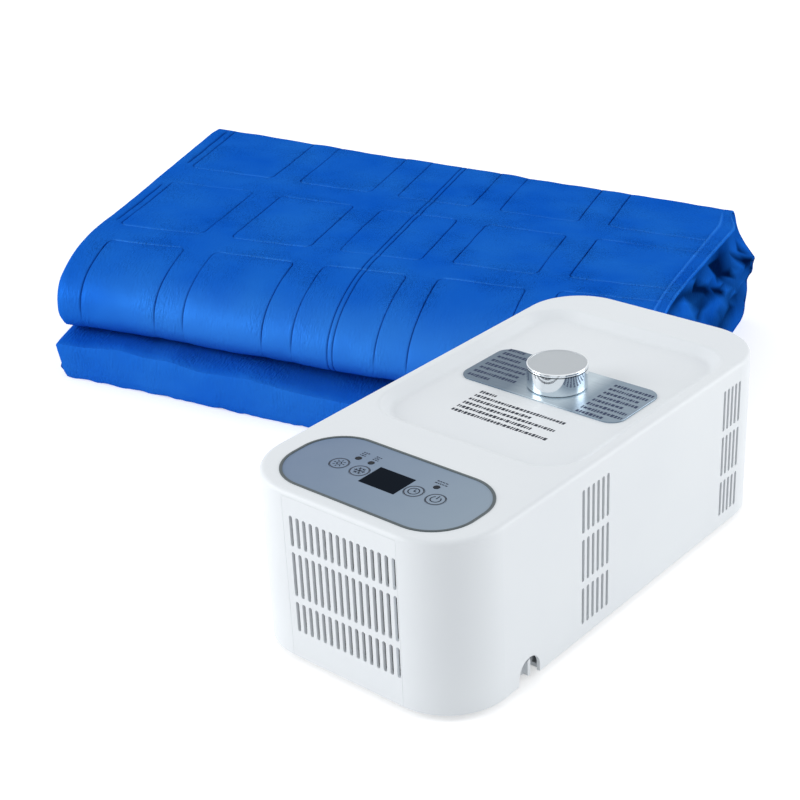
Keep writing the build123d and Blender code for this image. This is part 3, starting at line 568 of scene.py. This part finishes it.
# %% Notes on the plate and in the dish
LEFT_ENDS, RIGHT_ENDS = (-51, -43, -45, -31, -30, -29, -27, -47), (70, 70, 66, 70, 62, 70, 70, 58)
DISH_ENDS = (-25.0, 40.5, 16.5, 41.0, 25.5, 44.0)
PLATE_THICK = 1.0
plate_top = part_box("filler_plate")[1][2] / MM
left_rows = [(-66.5, end, 274.2 - 7.4 * k) for k, end in enumerate(LEFT_ENDS)]
right_rows = [(35.5, end, 268.0 - 7.1 * k) for k, end in enumerate(RIGHT_ENDS)]
plate_ink = moulded("plate_ink", rgb(62, 72, 98), rgb(52, 62, 88), 0.6, specular=0.1)
plate_notes = note_bars(left_rows + right_rows, height=4.2, longest=2.9, seed=5)
thin_print("plate_notes", plate_notes, plate_top, plate_ink.material, "control_unit")
dish_rows = [(-40.5, end, 204.0 - 6.8 * k) for k, end in enumerate(DISH_ENDS)]
dish_ink = moulded("dish_ink", rgb(60, 64, 74), rgb(48, 52, 62), 0.6, specular=0.1)
dish_notes = note_bars(dish_rows, height=4.0, longest=2.9, seed=8)
dish_level = plate_top - PLATE_THICK
thin_print("dish_notes", dish_notes, dish_level, dish_ink.material, "control_unit")
print(len(plate_notes), "bars on the plate and", len(dish_notes), "in the dish")

# %% [markdown]
# ## The folded pad: its section
# The pad is a thin sandwich of two coated fabrics welded together. It is folded in three across
# and in three along, so a stack of soft layers lies on the floor: a thin lower third, and two
# thirds folded over it with a round nose towards the unit. A cloth simulation could drop such a
# sheet, but it wouldn't land with its folds where they belong. So the outline across the fold is
# drawn once as a closed line, its corners are cut until it is smooth, and the surface carries
# that line along the fold. Lengths here are in millimetres: v runs back from the fold, z up.

# %% Outline across the fold, from the front crease over the top and round the back
OUTLINE = [
    (66, 41.6), (42, 42.2), (26, 42.8), (14.5, 44.4), (8, 48.8), (3.5, 56), (2, 66), (5, 80),
    (16, 93), (36, 103), (62, 109.5), (92, 112), (110, 112), (378, 112), (391, 111.8),
    (397.5, 108.5), (399.5, 102), (398.5, 94), (394, 84), (384, 77.5), (360, 75.5), (342, 74.6),
    (342, 73.6), (366, 73), (384, 70), (395, 60), (400, 45), (400, 30), (398, 14), (390, 3),
    (382, 0), (366, 0), (24, 0), (6, 0), (2.6, 0.8), (1.4, 4), (0.9, 12), (0.5, 24), (0.3, 31),
    (0.7, 34.6), (3.6, 36), (12, 37.2), (26, 38.6), (42, 39.7), (66, 40.4),
]  # fmt: skip
LIP_V, LIP_Z, DEEP = 15.5, 44.5, 400.0


def cut_corners(points, rounds):
    """Closed line with every corner cut at a quarter of both its sides, so many times over."""
    points = np.asarray(points, float)
    for _ in range(rounds):
        after = np.roll(points, -1, axis=0)
        points = np.stack([0.75 * points + 0.25 * after, 0.25 * points + 0.75 * after], 1)
        points = points.reshape(-1, 2)
    return points


outline = cut_corners(OUTLINE, 3)
steps = np.hypot(*(np.roll(outline, -1, axis=0) - outline).T)
outline_s = np.concatenate([[0.0], np.cumsum(steps)])
outline_closed = np.vstack([outline, outline[:1]])
ROUND = float(outline_s[-1])


def nearest_s(v, z):
    """How far along the outline its point nearest to (v, z) is."""
    return float(outline_s[np.argmin(np.hypot(outline[:, 0] - v, outline[:, 1] - z))])


def on_outline(s):
    """Point (v, z) so far along the outline, counted from the front crease."""
    s = np.mod(s, ROUND)
    return tuple(np.interp(s, outline_s, outline_closed[:, k]) for k in (0, 1))


lip_s = nearest_s(LIP_V, LIP_Z)
print("outline", len(outline), "points,", round(ROUND), "mm round, lip at", round(lip_s, 1))

# %% [markdown]
# ## The folded pad: where the surface needs its lines
# The surface is one grid: columns run along the fold and rows run round the outline. The weld
# lines are about a millimetre wide, so the grid is close there and at the round corners of the
# cells, and wide everywhere else. The cells stand in three rows, like long bricks.

# %% Cells and grid lines
# All along the fold, but for ROWS: where the rows of cells start and end, from the lip on
LENGTH = 590.0
CELL_LEFT, CELL_PITCH, CELL_WIDTH, CELL_R = 19.5, 113.8, 83.0, 7.0
ROWS = [(-12.0, 118.0), (152.0, 274.0), (318.0, 440.0)]
FIRST_LEFT = [25.0, 18.5, 18.5]
WELDS = [283.9, 289.1]
BORDER, HEM, PAST_HEM, CELLS_IN_ROW = 12.0, 575.0, 45.0, 5
BESIDE_LINE = np.array([-2.4, -1.5, -0.9, -0.45, 0.0, 0.45, 0.9, 1.5, 2.4])
CLOSEST = 0.3
cells = []
for row, (near, far) in enumerate(ROWS):
    for k in range(CELLS_IN_ROW):
        left = FIRST_LEFT[row] if k == 0 else CELL_LEFT + k * CELL_PITCH
        past_hem = PAST_HEM if k == CELLS_IN_ROW - 1 else 0.0
        cells.append((left, CELL_LEFT + k * CELL_PITCH + CELL_WIDTH + past_hem, near, far))


def grid_lines(end, wide, lines, ends):
    """Values from 0 to the end: evenly wide, closer on both sides of each line, and every
    1.2 mm for the round corners beside each end."""
    values = [np.arange(0.0, end, wide), [end]]
    values += [line + BESIDE_LINE for line in [*lines, *ends]]
    inward = np.arange(3.6, CELL_R + 1, 1.2)
    values += [place + sign * inward for place in ends for sign in (-1, 1)]
    values = np.unique(np.concatenate(values).round(3))
    values = values[(values >= 0.0) & (values <= end)]
    return values[np.concatenate([[True], np.diff(values) > CLOSEST])]


cell_sides = sorted({side for cell in cells for side in cell[:2]})
cell_ends = [lip_s + place for span in ROWS for place in span]
columns = grid_lines(LENGTH, 4.0, [*WELDS, BORDER, HEM, LENGTH - 1.5], cell_sides)
rows = grid_lines(ROUND - 0.5, 5.0, [], cell_ends)
print(len(columns), "columns by", len(rows), "rows")

# %% [markdown]
# ## The folded pad: its shape
# Three things turn the straight tube into the pad that lies there. The stack tapers, because the
# layers aren't folded square. Both ends lean. And the two front folds sag forward between the
# left end and the unit's corner, where they draw back. On top of that come the weld lines, as
# narrow valleys along the cells' sides and small steps across their ends, and slow waves. All of
# it is added in the section's own plane first, so the bends carry the relief along with them.

# %% Taper, lean and sag
# Depth of the stack at u = 0, what it loses for each millimetre, and where that sets in
TAPER_START, TAPER, GROWS_FROM = 433.2, 0.2228, 20.0
# Each end's lean at the fold and more for each millimetre of depth, and how far it reaches
LEFT_LEAN, RIGHT_LEAN, LEAN_REACH = (-6.8, -0.092), (-24.0, 0.11), 60.0
FOOT_IN, FOOT_HIGH, FOOT_REACH = 6.0, 34.0, 25.0
BACK_CORNER, CORNER_REACH = (320.0, 390.0), 20.0
# The lower third's front is pressed down by this share from here on
PRESSED, PRESSED_FROM = 0.12, (170.0, 280.0)
# How far the two fronts move at places u, and the right end's back corner at heights z
SAG_U = [-10, 33, 60, 93, 125, 175, 255, 329, 400, 460, 475, 490, 505, 519, 620]
SAG_UPPER = [0, -1, -3, -6, -9, -15, -25, -35, -36, -22, -15, -8, -1, 1, 1]
SAG_LOWER = [-10.5, -15.5, -19, -23, -28, -36, -47, -56, -52, -26, -17, -8.5, -1, 1, 1]
END_Z = [0, 7, 15, 22, 28, 34, 41, 50, 59, 65, 78, 89, 97, 112]
END_OUT = [-1, 0, -0.5, 0, 0.5, 0, -0.5, 5.2, 5.8, 7.4, -3.5, -10.6, -14, -17]


def smooth(x, low, high):
    """Goes from 0 at low to 1 at high: t * t * (3 - 2 t) with t the way between them."""
    t = np.clip((x - low) / (high - low), 0.0, 1.0)
    return t * t * (3.0 - 2.0 * t)


def place_on_pad(c, v, z, share_up, share_low):
    """Points (along, back, up) of the stack for places c along the fold and (v, z) on the
    outline. Each end leans by an amount that grows with the depth and fades away from the end,
    the fronts move by their shares of the sag, and the depth shrinks evenly along the fold."""
    depth = v * (TAPER_START - TAPER * c) / DEEP
    foot_in = FOOT_IN * np.clip(1.0 - z / FOOT_HIGH, 0.0, 1.0)
    left_lean = (LEFT_LEAN[0] + LEFT_LEAN[1] * depth) * np.exp(-c / LEAN_REACH)
    left_lean = left_lean + foot_in * np.exp(-c / FOOT_REACH)
    right_lean = (RIGHT_LEAN[0] + RIGHT_LEAN[1] * depth) * np.exp(-(LENGTH - c) / LEAN_REACH)
    u = c + left_lean + right_lean
    sag = share_up * np.interp(u, SAG_U, SAG_UPPER) + share_low * np.interp(u, SAG_U, SAG_LOWER)
    grown = np.clip((v - GROWS_FROM) / (DEEP - GROWS_FROM), 0.0, 1.0)
    corner = smooth(v, *BACK_CORNER) * np.exp(-(LENGTH - c) / CORNER_REACH)
    u = u + corner * np.interp(z, END_Z, END_OUT)
    lowered = z * (1 - PRESSED * share_low * smooth(c, *PRESSED_FROM))
    return u, v + (TAPER_START - TAPER * u - DEEP) * grown + sag, lowered


print("front of the lower third sags up to", -min(SAG_LOWER), "mm forward")

# %% Rows: their way out and their share of the sag
# Where the shelf starts, and over what lengths the shares of the sag change
SHELF_Z, IN_CREASE, FADE_TOP, FADE_UNDER = 35.2, 50.0, 80.0, 60.0
c, s = columns[:, None], rows[None, :]
v, z = on_outline(rows)
w = rows - lip_s
slope = np.subtract(on_outline(rows + 0.8), on_outline(rows - 0.8))
out_v, out_z = np.array([-slope[1], slope[0]]) / np.hypot(*slope)

# Which of the two fronts each row belongs to, and how far it follows that front's sag
second_half = rows > ROUND / 2
on_lower = (z < 41.0) & (v < 100.0) & second_half
shelf = on_lower & (z > SHELF_Z)
under = (z < 1.0) & second_half
in_crease = np.clip((v - LIP_V) / IN_CREASE, 0.0, 1.0) / 2
share_up = np.where(rows < lip_s, 1 - in_crease, np.exp(-((np.maximum(w, 0) / FADE_TOP) ** 2)))
share_up = np.where(on_lower, np.where(shelf, in_crease, 0.0), np.where(under, 0.0, share_up))
share_low = np.where(on_lower, np.where(shelf, 1 - in_crease, 1.0), 0.0)
share_low = np.where(rows < lip_s, in_crease, share_low)
share_low = np.where(under, np.exp(-((np.maximum(v - 12.0, 0) / FADE_UNDER) ** 2)), share_low)
print(on_lower.sum(), "of", len(rows), "rows are on the lower third's front")

# %% Distance from the cells' rims
w_grid = w[None, :] * np.ones_like(c)
inside = np.full(w_grid.shape, -1e3)
along_side = np.zeros(w_grid.shape)
behind_end = np.zeros(w_grid.shape)
for left, right_edge, near, far in cells:
    half_u, half_w = (right_edge - left) / 2, (far - near) / 2
    du = np.abs(c - left - half_u) - half_u
    dw = np.abs(w_grid - near - half_w) - half_w
    outer = np.hypot(np.maximum(du + CELL_R, 0), np.maximum(dw + CELL_R, 0))
    reach = CELL_R - outer - np.minimum(np.maximum(du, dw) + CELL_R, 0)
    nearer = reach > inside
    inside = np.where(nearer, reach, inside)
    along_side = np.where(nearer, smooth(du - dw, -6.0, 4.0), along_side)
    past_middle = np.where(w_grid > near + half_w, w_grid - far, w_grid - near)
    behind_end = np.where(nearer, past_middle, behind_end)
print(len(cells), "cells,", f"{(inside > 0).mean():.0%} of the grid's points are in one")

# %% Weld lines and hem, as relief
# Heights, and the half widths of the lines, in millimetres
PILLOW_IN, PILLOW_OUT, VALLEY, END_STEP, HEM_UP, RIDGE_UP = 0.75, 0.5, 1.15, 0.8, 0.2, 1.5
SIDE_HALF, BORDER_HALF, WELD_HALF, RIDGE_HALF = 0.62, 0.8, 0.65, 1.1
waves = np.random.default_rng(7)


def slow_waves(c, s, count, longest, shortest):
    """Sum of flat waves of random heading and length, about 1 high."""
    total = np.zeros(np.broadcast(c, s).shape)
    for _ in range(count):
        heading = waves.uniform(0, 2 * np.pi)
        k = 2 * np.pi / waves.uniform(shortest, longest)
        phase = waves.uniform(0, 2 * np.pi)
        total += np.sin(k * (c * np.cos(heading) + s * np.sin(heading)) + phase)
    return total / np.sqrt(count)


def ridge(x, half):
    """Round ridge 1 high along x = 0: the bell curve exp(-(x / half) ** 2)."""
    return np.exp(-((x / half) ** 2))


w_back = nearest_s(342.0, 74.1) - lip_s
on_sheet = (smooth(w, -16, -10) * (1 - smooth(w, w_back - 60, w_back - 45)))[None, :]
strength = np.clip(0.85 + 0.25 * slow_waves(c, s, 8, 160.0, 50.0), 0.45, 1.1)
strength = strength * np.where(w_grid < 60, smooth(w_grid, 14, 34), 1.0)
side_line = along_side * strength * ridge(inside, SIDE_HALF)
end_line = (1 - along_side) * strength * np.where(
    behind_end < 0, np.exp(-np.abs(inside) / 3.2), np.exp(-np.abs(inside) / 0.6)
)
in_rows = sum(
    smooth(w_grid, near + 6, near + 14) * (1 - smooth(w_grid, far - 14, far - 6))
    for near, far in ROWS[1:]
)
border = ridge(c - BORDER, BORDER_HALF) * in_rows
weld = sum(ridge(c - place, WELD_HALF) for place in WELDS) * (0.75 + 0.25 * strength)
lines = np.maximum.reduce([side_line, border, weld])
pillow = PILLOW_IN * (1 - np.exp(-inside / 9.0))
pillow = np.where(inside > 0, pillow, PILLOW_OUT * (1 - np.exp(inside / 8.0)))
hem = smooth(c, HEM - 0.5, HEM + 0.5)
hem_ridge = ridge(c - HEM, RIDGE_HALF) + 0.8 * ridge(c - LENGTH + 1.2, RIDGE_HALF)
hem_ridge = hem_ridge * (1 - smooth(v, 350, 388) * (z > 90.0))[None, :]
relief = (pillow - VALLEY * lines - END_STEP * end_line) * (1 - hem)
relief = relief + HEM_UP * hem + RIDGE_UP * hem_ridge
relief = relief * on_sheet
print("relief from", relief.min().round(2), "to", relief.max().round(2), "mm")

# %% Waves, rounding and closing, and the skin's points
CREST_C = [0, 26, 50, 72, 90, 100, 127, 145, 161, 185, 211, 257, 330]
CREST_RISE = [0, 1, 3.5, 6, 4, 3, 4.5, 2, 0.5, 2, 5, 4, 3]
EDGE_R, CLOSED_V = 4.0, 396.5

# The lower third's cells are pressed flat: only its foot and its upper edge run unevenly
on_front = (on_lower & ~shelf & (z > 0.0))[None, :]
foot_dips = 0.6 * slow_waves(c, 0.0, 14, 34.0, 8.0) * np.exp(-z / 5.0)[None, :]
relief = relief + on_front * foot_dips
near_crest = on_lower * np.where(z < 35.6, smooth(z, 22.0, 35.6), 1 - smooth(v, 4.0, 46.0))
crest = np.interp(c, CREST_C, CREST_RISE) * near_crest[None, :]

# Slow waves and smaller buckles, but little inside the two creases and none on the floor
calm = 1 - 0.85 * ((rows < lip_s - 8) | shelf & (v > 30) | (np.abs(z - 74.0) < 5) & (v > 330))
free = (smooth(z, 1.0, 8.0) * calm)[None, :]
relief = relief + free * 0.5 * slow_waves(c, s, 14, 230.0, 60.0)
relief = relief + free * 0.16 * slow_waves(c, s, 24, 46.0, 16.0)

# The left end rounds in over its last millimetres, and the back crease closes at the right end
rounding = EDGE_R - np.sqrt(EDGE_R**2 - np.maximum(EDGE_R - c, 0.0) ** 2)
relief = relief - rounding
in_back_crease = smooth(z, 58, 66) * smooth(z, 94, 86) * (v > 300)
closing = smooth(c, 520, 585) * in_back_crease[None, :]
sheet_v = (v + out_v * relief) * (1 - closing) + CLOSED_V * closing
sheet_z = np.maximum(z + out_z * relief + crest, 0.0)
skin = np.stack(place_on_pad(c, sheet_v, sheet_z, share_up, share_low), -1)
print("grid", skin.shape[:2], "highest", skin[..., 2].max().round(1), "mm")

# %% Marks for the fabric
# How hard the cloth puckers, and where painted highlight lightens the front fold's nose, the lower
# third's front, the cells' ends and the hem's ridges
pucker = on_sheet * np.clip(0.35 + np.exp(-np.abs(inside) / 12.0), 0, 1) + 0.3 * (1 - on_sheet)
pucker = pucker * (1 - 0.75 * smooth(w, 90, 50) * on_sheet)
# Painted highlight along the front fold's nose, fading towards the left end, and a little over the
# lower third's front
nose_highlight = np.exp(-(((w - 34.0) / 30.0) ** 2)) * (rows < ROUND / 2)
nose_highlight = 0.85 * nose_highlight[None, :] * (0.2 + 0.8 * smooth(c, 10, 130)) + 0.2 * on_front
lit = np.where((w > 100) & (w < 130), 2.4, 1.6)[None, :]  # most behind the first row
# Weld lines: pressed darker, and painted shade in their grooves
welds_and_shade = lines * on_sheet * (1 - hem)
# Painted highlight on the steps at the cells' far ends, on the hem's ridges and on the nose
painted_highlight = (lit * end_line * (behind_end > 0) * (1 - hem) + hem_ridge) * on_sheet + nose_highlight
marks = np.stack([welds_and_shade, painted_highlight, np.zeros_like(inside), pucker], -1)
print("pressed, raised, pocket and pucker at", marks.shape[:2], "points")

# %% [markdown]
# ## The folded pad: its two ends
# The right end is tucked in: the hemmed edge of the top sheet stands proud, and behind it the
# cloth lies in pleats and pockets. A table of ridge and valley points gives how far each stands
# out of the end and how much painted shade it gets, flat facets join them, and the facets are
# rounded a little by averaging. The left end shows the edges of the folded layers, one above the
# other, with painted shade in the creases between them. Both ends are closed by triangles that
# share the grid's last ring, so the skin is one closed surface.

# %% Ridges and valleys of the tucked end
# Places (v, z) on the right end, and how deep the cloth lies: 0 on a ridge, 1 in a pocket;
# the depth also sets the painted shade
DEPTHS = [
    (-20, 130, 0.3), (60, 130, 0.3), (160, 130, 0.3), (250, 130, 0.3), (330, 130, 0.3),
    (-20, -10, 0.2), (80, -10, 0.2), (180, -10, 0.2), (260, -10, 0.2), (330, -10, 0.2),
    (10, 10, 0.3), (10, 24, 0.2), (10, 50, 0.7), (30, 60, 0.2), (30, 68, 0.9), (30, 76, 0.1),
    (30, 84, 0.9), (30, 92, 0.2), (57, 102, 0.6), (60, 12, 0.2), (60, 19, 0.9), (60, 26, 0.2),
    (60, 36, 0.8), (62, 57, 0.2), (62, 66, 0.9), (62, 73, 0.1), (62, 84, 0.9), (70, 94, 0.3),
    (74, 104, 0.75), (78, 98, 0.4), (87, 88, 0.15), (93, 96, 0.05), (98, 42, 0.9), (98, 50, 0.2),
    (98, 62, 0.8), (98, 102, 0.75), (120, 73, 0.2), (121, 106, 0.3), (122, 102, 0.5),
    (123, 94, 0.75), (125, 83, 0.6), (130, 96, 1), (135, 105, 0.6), (137, 59, 0.35), (140, 13, 0.2),
    (140, 20, 0.9), (140, 27, 0.2), (140, 38, 0.9), (142, 62, 0.7), (150, 55, 0.3), (152, 67, 0.75),
    (155, 63, 0.3), (156, 80, 0.7), (161, 83, 1), (161, 107, 0.5), (164, 89, 0.25), (171, 82, 0.6),
    (173, 67, 0.6), (178, 42, 0.5), (178, 61, 0.25), (179, 99, 1), (181, 89, 0.25), (182, 36, 0.3),
    (186, 52, 0.25), (193, 65, 0.6), (194, 74, 0.3), (196, 68, 1), (197, 86, 1), (199, 27, 0.6),
    (201, 109, 0.6), (202, 57, 0.25), (203, 81, 0.95), (205, 8, 0.2), (205, 18, 0.8),
    (206, 36, 0.5), (206, 98, 0.8), (207, 70, 0.25), (209, 51, 0.2), (209, 65, 0.7),
    (210, 40, 0.55), (218, 58, 0.95), (224, 25, 0.7), (224, 57, 0.2), (224, 66, 0.6),
    (225, 50, 0.45), (231, 37, 0.4), (236, 65, 0.45), (238, 67, 0.95), (238, 103, 0.5),
    (239, 92, 0.55), (240, 48, 0.55), (241, 40, 0.6), (243, 75, 0.6), (247, 67, 0.4), (248, 5, 0.3),
    (250, 29, 0.8), (251, 50, 0.5), (252, 44, 0.25), (255, 56, 0.45), (262, 69, 0.25),
    (264, 10, 0.3), (265, 36, 0.75), (266, 63, 0.35), (267, 81, 0.2), (270, 22, 0.5),
    (274, 59, 0.5), (274, 69, 0.85), (275, 45, 0.3), (276, 35, 0.6), (278, 62, 0.8), (281, 76, 0.8),
    (283, 67, 0.9), (284, 89, 0.35), (287, 46, 0.4), (287, 70, 0.4), (291, 57, 0.7), (294, 76, 0.1),
    (297, 68, 0.25), (298, 48, 0.6), (299, 84, 0.35), (302, 50, 0.85), (302, 60, 0.8),
]  # fmt: skip
DEPTHS = np.array(DEPTHS, float)
print(len(DEPTHS), "ridge and valley points")

# %% Helpers: the relief of both ends, and triangles that fill a ring
LAY = np.array([[0.36, 0.4], [0.0, 1.0]])  # squeeze and shear
CORNER_FROM, CORNER_TO = 215.0, 295.0
LAYER_CREASES = np.array([13.5, 27.0, 57.0, 70.5, 84.0, 98.0])


def facets(points, table):
    """Depth at each point (v, z) of the flat facets that join the table's points. The facets are
    laid out on a copy squeezed along v and sheared upwards, so that they run along the folds."""
    points, places = points @ LAY, table[:, :2] @ LAY
    spots, _, triangles, *_ = delaunay_2d_cdt([Vector(p) for p in places], [], [], 0, 1e-4)
    spots = np.array([tuple(p) for p in spots])
    near = np.argmin(((spots[:, None] - places[None]) ** 2).sum(-1), 1)
    depths = table[near, 2]
    result = np.zeros(len(points))
    for first, second, third in triangles:
        side_b, side_c = spots[second] - spots[first], spots[third] - spots[first]
        area = side_b[0] * side_c[1] - side_b[1] * side_c[0]
        gap = points - spots[first]
        share_b = (gap[:, 0] * side_c[1] - gap[:, 1] * side_c[0]) / area
        share_c = (side_b[0] * gap[:, 1] - side_b[1] * gap[:, 0]) / area
        here = (share_b > -1e-6) & (share_c > -1e-6) & (share_b + share_c < 1 + 1e-6)
        start, rise_b, rise_c = depths[first], depths[second], depths[third]
        deep = start + share_b * (rise_b - start) + share_c * (rise_c - start)
        result = np.where(here, deep, result)
    return result


def tucked(points):
    """Depth of the right end, the mean of five places 0.7 mm apart, which rounds the facets. The
    depth also sets the painted shade there. It stands out from 1.5 mm on a ridge to 3.5 mm
    inwards, and follows the corner at the back."""
    around = 0.7 * np.array([(0, 0), (1, 0), (-1, 0), (0, 1), (0, -1)])
    deep = np.mean([facets(points + step, DEPTHS) for step in around], 0)
    corner = smooth(points[:, 0], CORNER_FROM, CORNER_TO) * np.interp(points[:, 1], END_Z, END_OUT)
    return deep, 1.5 - 5.0 * deep + corner


def layered(points):
    """Depth and stand-out of the left end: rounded layer edges, a crease between each two, which
    wanders slowly up and down. The depth falls off from the nearest crease as a narrow bell, and
    also sets the painted shade in the creases."""
    wander = 1.2 * np.sin(points[:, 0] / 47.0) + 0.7 * np.sin(points[:, 0] / 19.0 + 1.0)
    level = points[:, 1] + wander
    gap = np.abs(level[:, None] - LAYER_CREASES).min(1)
    deep = 0.8 * ridge(gap, 1.3) + 0.2 * np.exp(-gap / 2.2)
    return deep, 1.0 - 8.0 * deep


def fill_outline(ring, step_v, step_z):
    """Points inside a closed ring (v, z), and the triangles that join them to the ring. A point
    is inside if a line from it along v crosses the ring an odd number of times."""
    low, high = ring.min(0), ring.max(0)
    row_z = np.arange(low[1] + step_z, high[1], step_z)
    row_v = np.arange(low[0] + step_v, high[0], step_v)
    grid_v, grid_z = np.meshgrid(row_v, row_z)
    grid_v = grid_v + 0.5 * step_v * (np.arange(len(row_z)) % 2)[:, None]
    spots = np.stack([grid_v.ravel(), grid_z.ravel()], 1)
    after = np.roll(ring, -1, axis=0)
    crossing = np.zeros(len(spots), bool)
    for start, stop in zip(ring, after):
        if start[1] == stop[1]:
            continue
        spans = (start[1] > spots[:, 1]) != (stop[1] > spots[:, 1])
        reach = start[0] + (spots[:, 1] - start[1]) * (stop[0] - start[0]) / (stop[1] - start[1])
        crossing ^= spans & (spots[:, 0] < reach)
    spots = spots[crossing]
    clear = np.sqrt(((spots[:, None] - ring[None]) ** 2).sum(-1)).min(1)
    kept = clear > 0.6 * step_z
    spots, clear = spots[kept], clear[kept]
    together = np.vstack([ring, spots])
    made = delaunay_2d_cdt([Vector(p) for p in together], [], [list(range(len(ring)))], 1, 1e-5)
    origin = [sources[0] if sources else -1 for sources in made[3]]
    if min(origin) < 0 or len(made[0]) != len(together):
        raise RuntimeError("the end's outline crosses itself")
    return spots, clear, [[origin[i] for i in face] for face in made[2]]


print("depth at (196, 68):", facets(np.array([[196.0, 68.0]]), DEPTHS)[0].round(3))

# %% Skin of the pad, with both ends closed
count_c, count_s = skin.shape[:2]
index = np.arange(count_c * count_s).reshape(count_c, count_s)
after = np.roll(index, -1, axis=1)
quads = np.stack([index[:-1], index[1:], after[1:], after[:-1]], -1).reshape(-1, 4).tolist()
laid_out = np.stack(np.broadcast_arrays(c, s), -1)

# The hem's edge steps down on to the tucked cloth
STEP, RIM, MAP_APART, SHARP = 1.8, 2.6, 700.0, radians(48)
step_v, step_z = sheet_v[-1] - STEP * out_v, np.maximum(sheet_z[-1] - STEP * out_z, 0.0)
step_ring = np.stack(place_on_pad(np.array(LENGTH), step_v, step_z, share_up, share_low), -1)
step_index = count_c * count_s + np.arange(count_s)
step_after = np.roll(step_index, -1)
quads += np.stack([index[-1], step_index, step_after, after[-1]], -1).tolist()

points = [skin.reshape(-1, 3), step_ring]
# The step down on to the tucked end gets a little painted shade and keeps the last column's pucker
marks_of = [marks.reshape(-1, 4), marks[-1] * [0, 0, 1, 1] + [0, 0, 0.1, 0]]
places_of = [laid_out.reshape(-1, 2), laid_out[-1] + [STEP, 0]]
total = count_c * count_s + count_s
for ring, numbers, stand_out, steps_vz, sign in (
    (step_ring, step_index, tucked, (1.8, 1.2), 1.0),
    (skin[0], index[0], layered, (4.0, 1.0), -1.0),
):
    spots, clear, triangles = fill_outline(ring[:, 1:], *steps_vz)
    # The end stands out from a flat base that is fitted to the ring's front part, and meets the
    # ring itself over the rim's last millimetres
    front = ring[:, 1] < CORNER_FROM
    base = np.polyval(np.polyfit(ring[front, 1], ring[front, 0], 1), spots[:, 0])
    nearest = np.argmin(((spots[:, None] - ring[None, :, 1:]) ** 2).sum(-1), 1)
    from_ring = ring[nearest, 0]
    window = smooth(clear, 0.0, RIM)
    deep, level = stand_out(spots)
    along = from_ring + (base - from_ring) * window + sign * level * window
    points.append(np.column_stack([along, spots]))
    # Painted shade: the deeper the cloth lies the darker, and the rest of the end a little darker
    # too, fading out at its rim
    shade = np.clip(1.3 * deep - 0.1, 0.1, 1) * window
    marks_of.append(np.column_stack([0 * deep, 0 * deep, shade, 0 * deep + 0.2]))
    places_of.append(spots + [MAP_APART, 0.0])
    lookup = np.concatenate([numbers, total + np.arange(len(spots))])
    faces = lookup[np.array(triangles)]
    quads += (faces if sign > 0 else faces[:, ::-1]).tolist()
    total += len(spots)

points, marks_of, places_of = (np.vstack(parts) for parts in (points, marks_of, places_of))
placed = on_pad(points[:, 0], points[:, 1], np.maximum(points[:, 2], 0.0))
pad_mesh = bpy.data.meshes.new("pad_skin")
pad_mesh.from_pydata(placed.tolist(), [], quads)
marks_layer = pad_mesh.attributes.new("marks", "FLOAT_COLOR", "POINT")
marks_layer.data.foreach_set("color", marks_of.astype(np.float32).ravel())
places_layer = pad_mesh.attributes.new("laid_out", "FLOAT_VECTOR", "POINT")
laid_flat = np.column_stack([places_of, np.zeros(len(points))]) * MM
places_layer.data.foreach_set("vector", laid_flat.astype(np.float32).ravel())
pad_mesh.validate()
pad_mesh.shade_smooth()
pad_mesh.set_sharp_from_angle(angle=SHARP)
pad_skin = put("pad_skin", pad_mesh)
print("pad skin:", len(points), "points,", len(quads), "faces")

# %% [markdown]
# ## The folded pad: its fabric
# The fabric is nylon with a polyurethane coat: a saturated blue with a soft, dull gloss. The
# surface carries its own flat map, so that the crinkles can run across the sheet wherever it
# folds. Crinkles of a few millimetres cover it in patches, mostly beside the welds. The weld lines
# are pressed darker, and painted shade darkens them more. Painted highlight lightens the raised
# steps, the hem's ridges and the front fold's nose. Painted shade darkens the deep pockets of
# the tucked end, the creases of the left end and, a little, both ends all over.

# %% Coated nylon
# Colours of the weld lines with their painted shade, of the painted highlight, and of the painted
# shade in the ends
WELD_AND_SHADE_BLUE, PAINTED_HIGHLIGHT_BLUE, POCKET_SHADE_BLUE = rgb(2, 36, 118), rgb(70, 150, 235), rgb(1, 4, 28)
MARK_SHADES = ("Red", 0.8, WELD_AND_SHADE_BLUE), ("Green", 0.35, PAINTED_HIGHLIGHT_BLUE), ("Blue", 0.97, POCKET_SHADE_BLUE)
fabric = Finish("coated_nylon", 0.5, metallic=0.25, specular=0.0)
fabric.set("Specular Tint", (0.1, 0.5, 1.0, 1.0))
marked = fabric.node("Attribute", attribute_name="marks")
kinds = fabric.node("SeparateColor", marked.outputs["Color"])
fabric.place = fabric.node("Attribute", attribute_name="laid_out").outputs["Vector"]
tone = fabric.ramp(fabric.noise(14.0), 0.0, 1.0)
cloth = fabric.mix(tone, rgb(30, 105, 203), rgb(17, 91, 197))
for mark, most, shade in MARK_SHADES:
    cloth = fabric.mix(fabric.math("MULTIPLY", kinds.outputs[mark], most), cloth, shade)
fabric.set("Base Color", cloth)
fabric.set("Roughness", fabric.ramp(fabric.noise(26.0), 0.46, 0.54))
patches = fabric.ramp(fabric.noise(20.0, detail=2.0), 0.15, 1.0, 0.4, 0.62)
share = fabric.math("MULTIPLY", patches, marked.outputs["Alpha"])
crinkle = fabric.noise(480.0, detail=2.0, stretch=(1.0, 3.0, 1.0))
fabric.bump(fabric.math("MULTIPLY", crinkle, share), 6e-3)
fabric.bump(fabric.noise(1900.0, detail=1.0), 3e-5, strength=0.6)
pad_mesh.materials.append(fabric.material)
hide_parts("folded_pad")
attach(pad_skin, "mattress_pad")
print("fabric on", pad_skin.name)
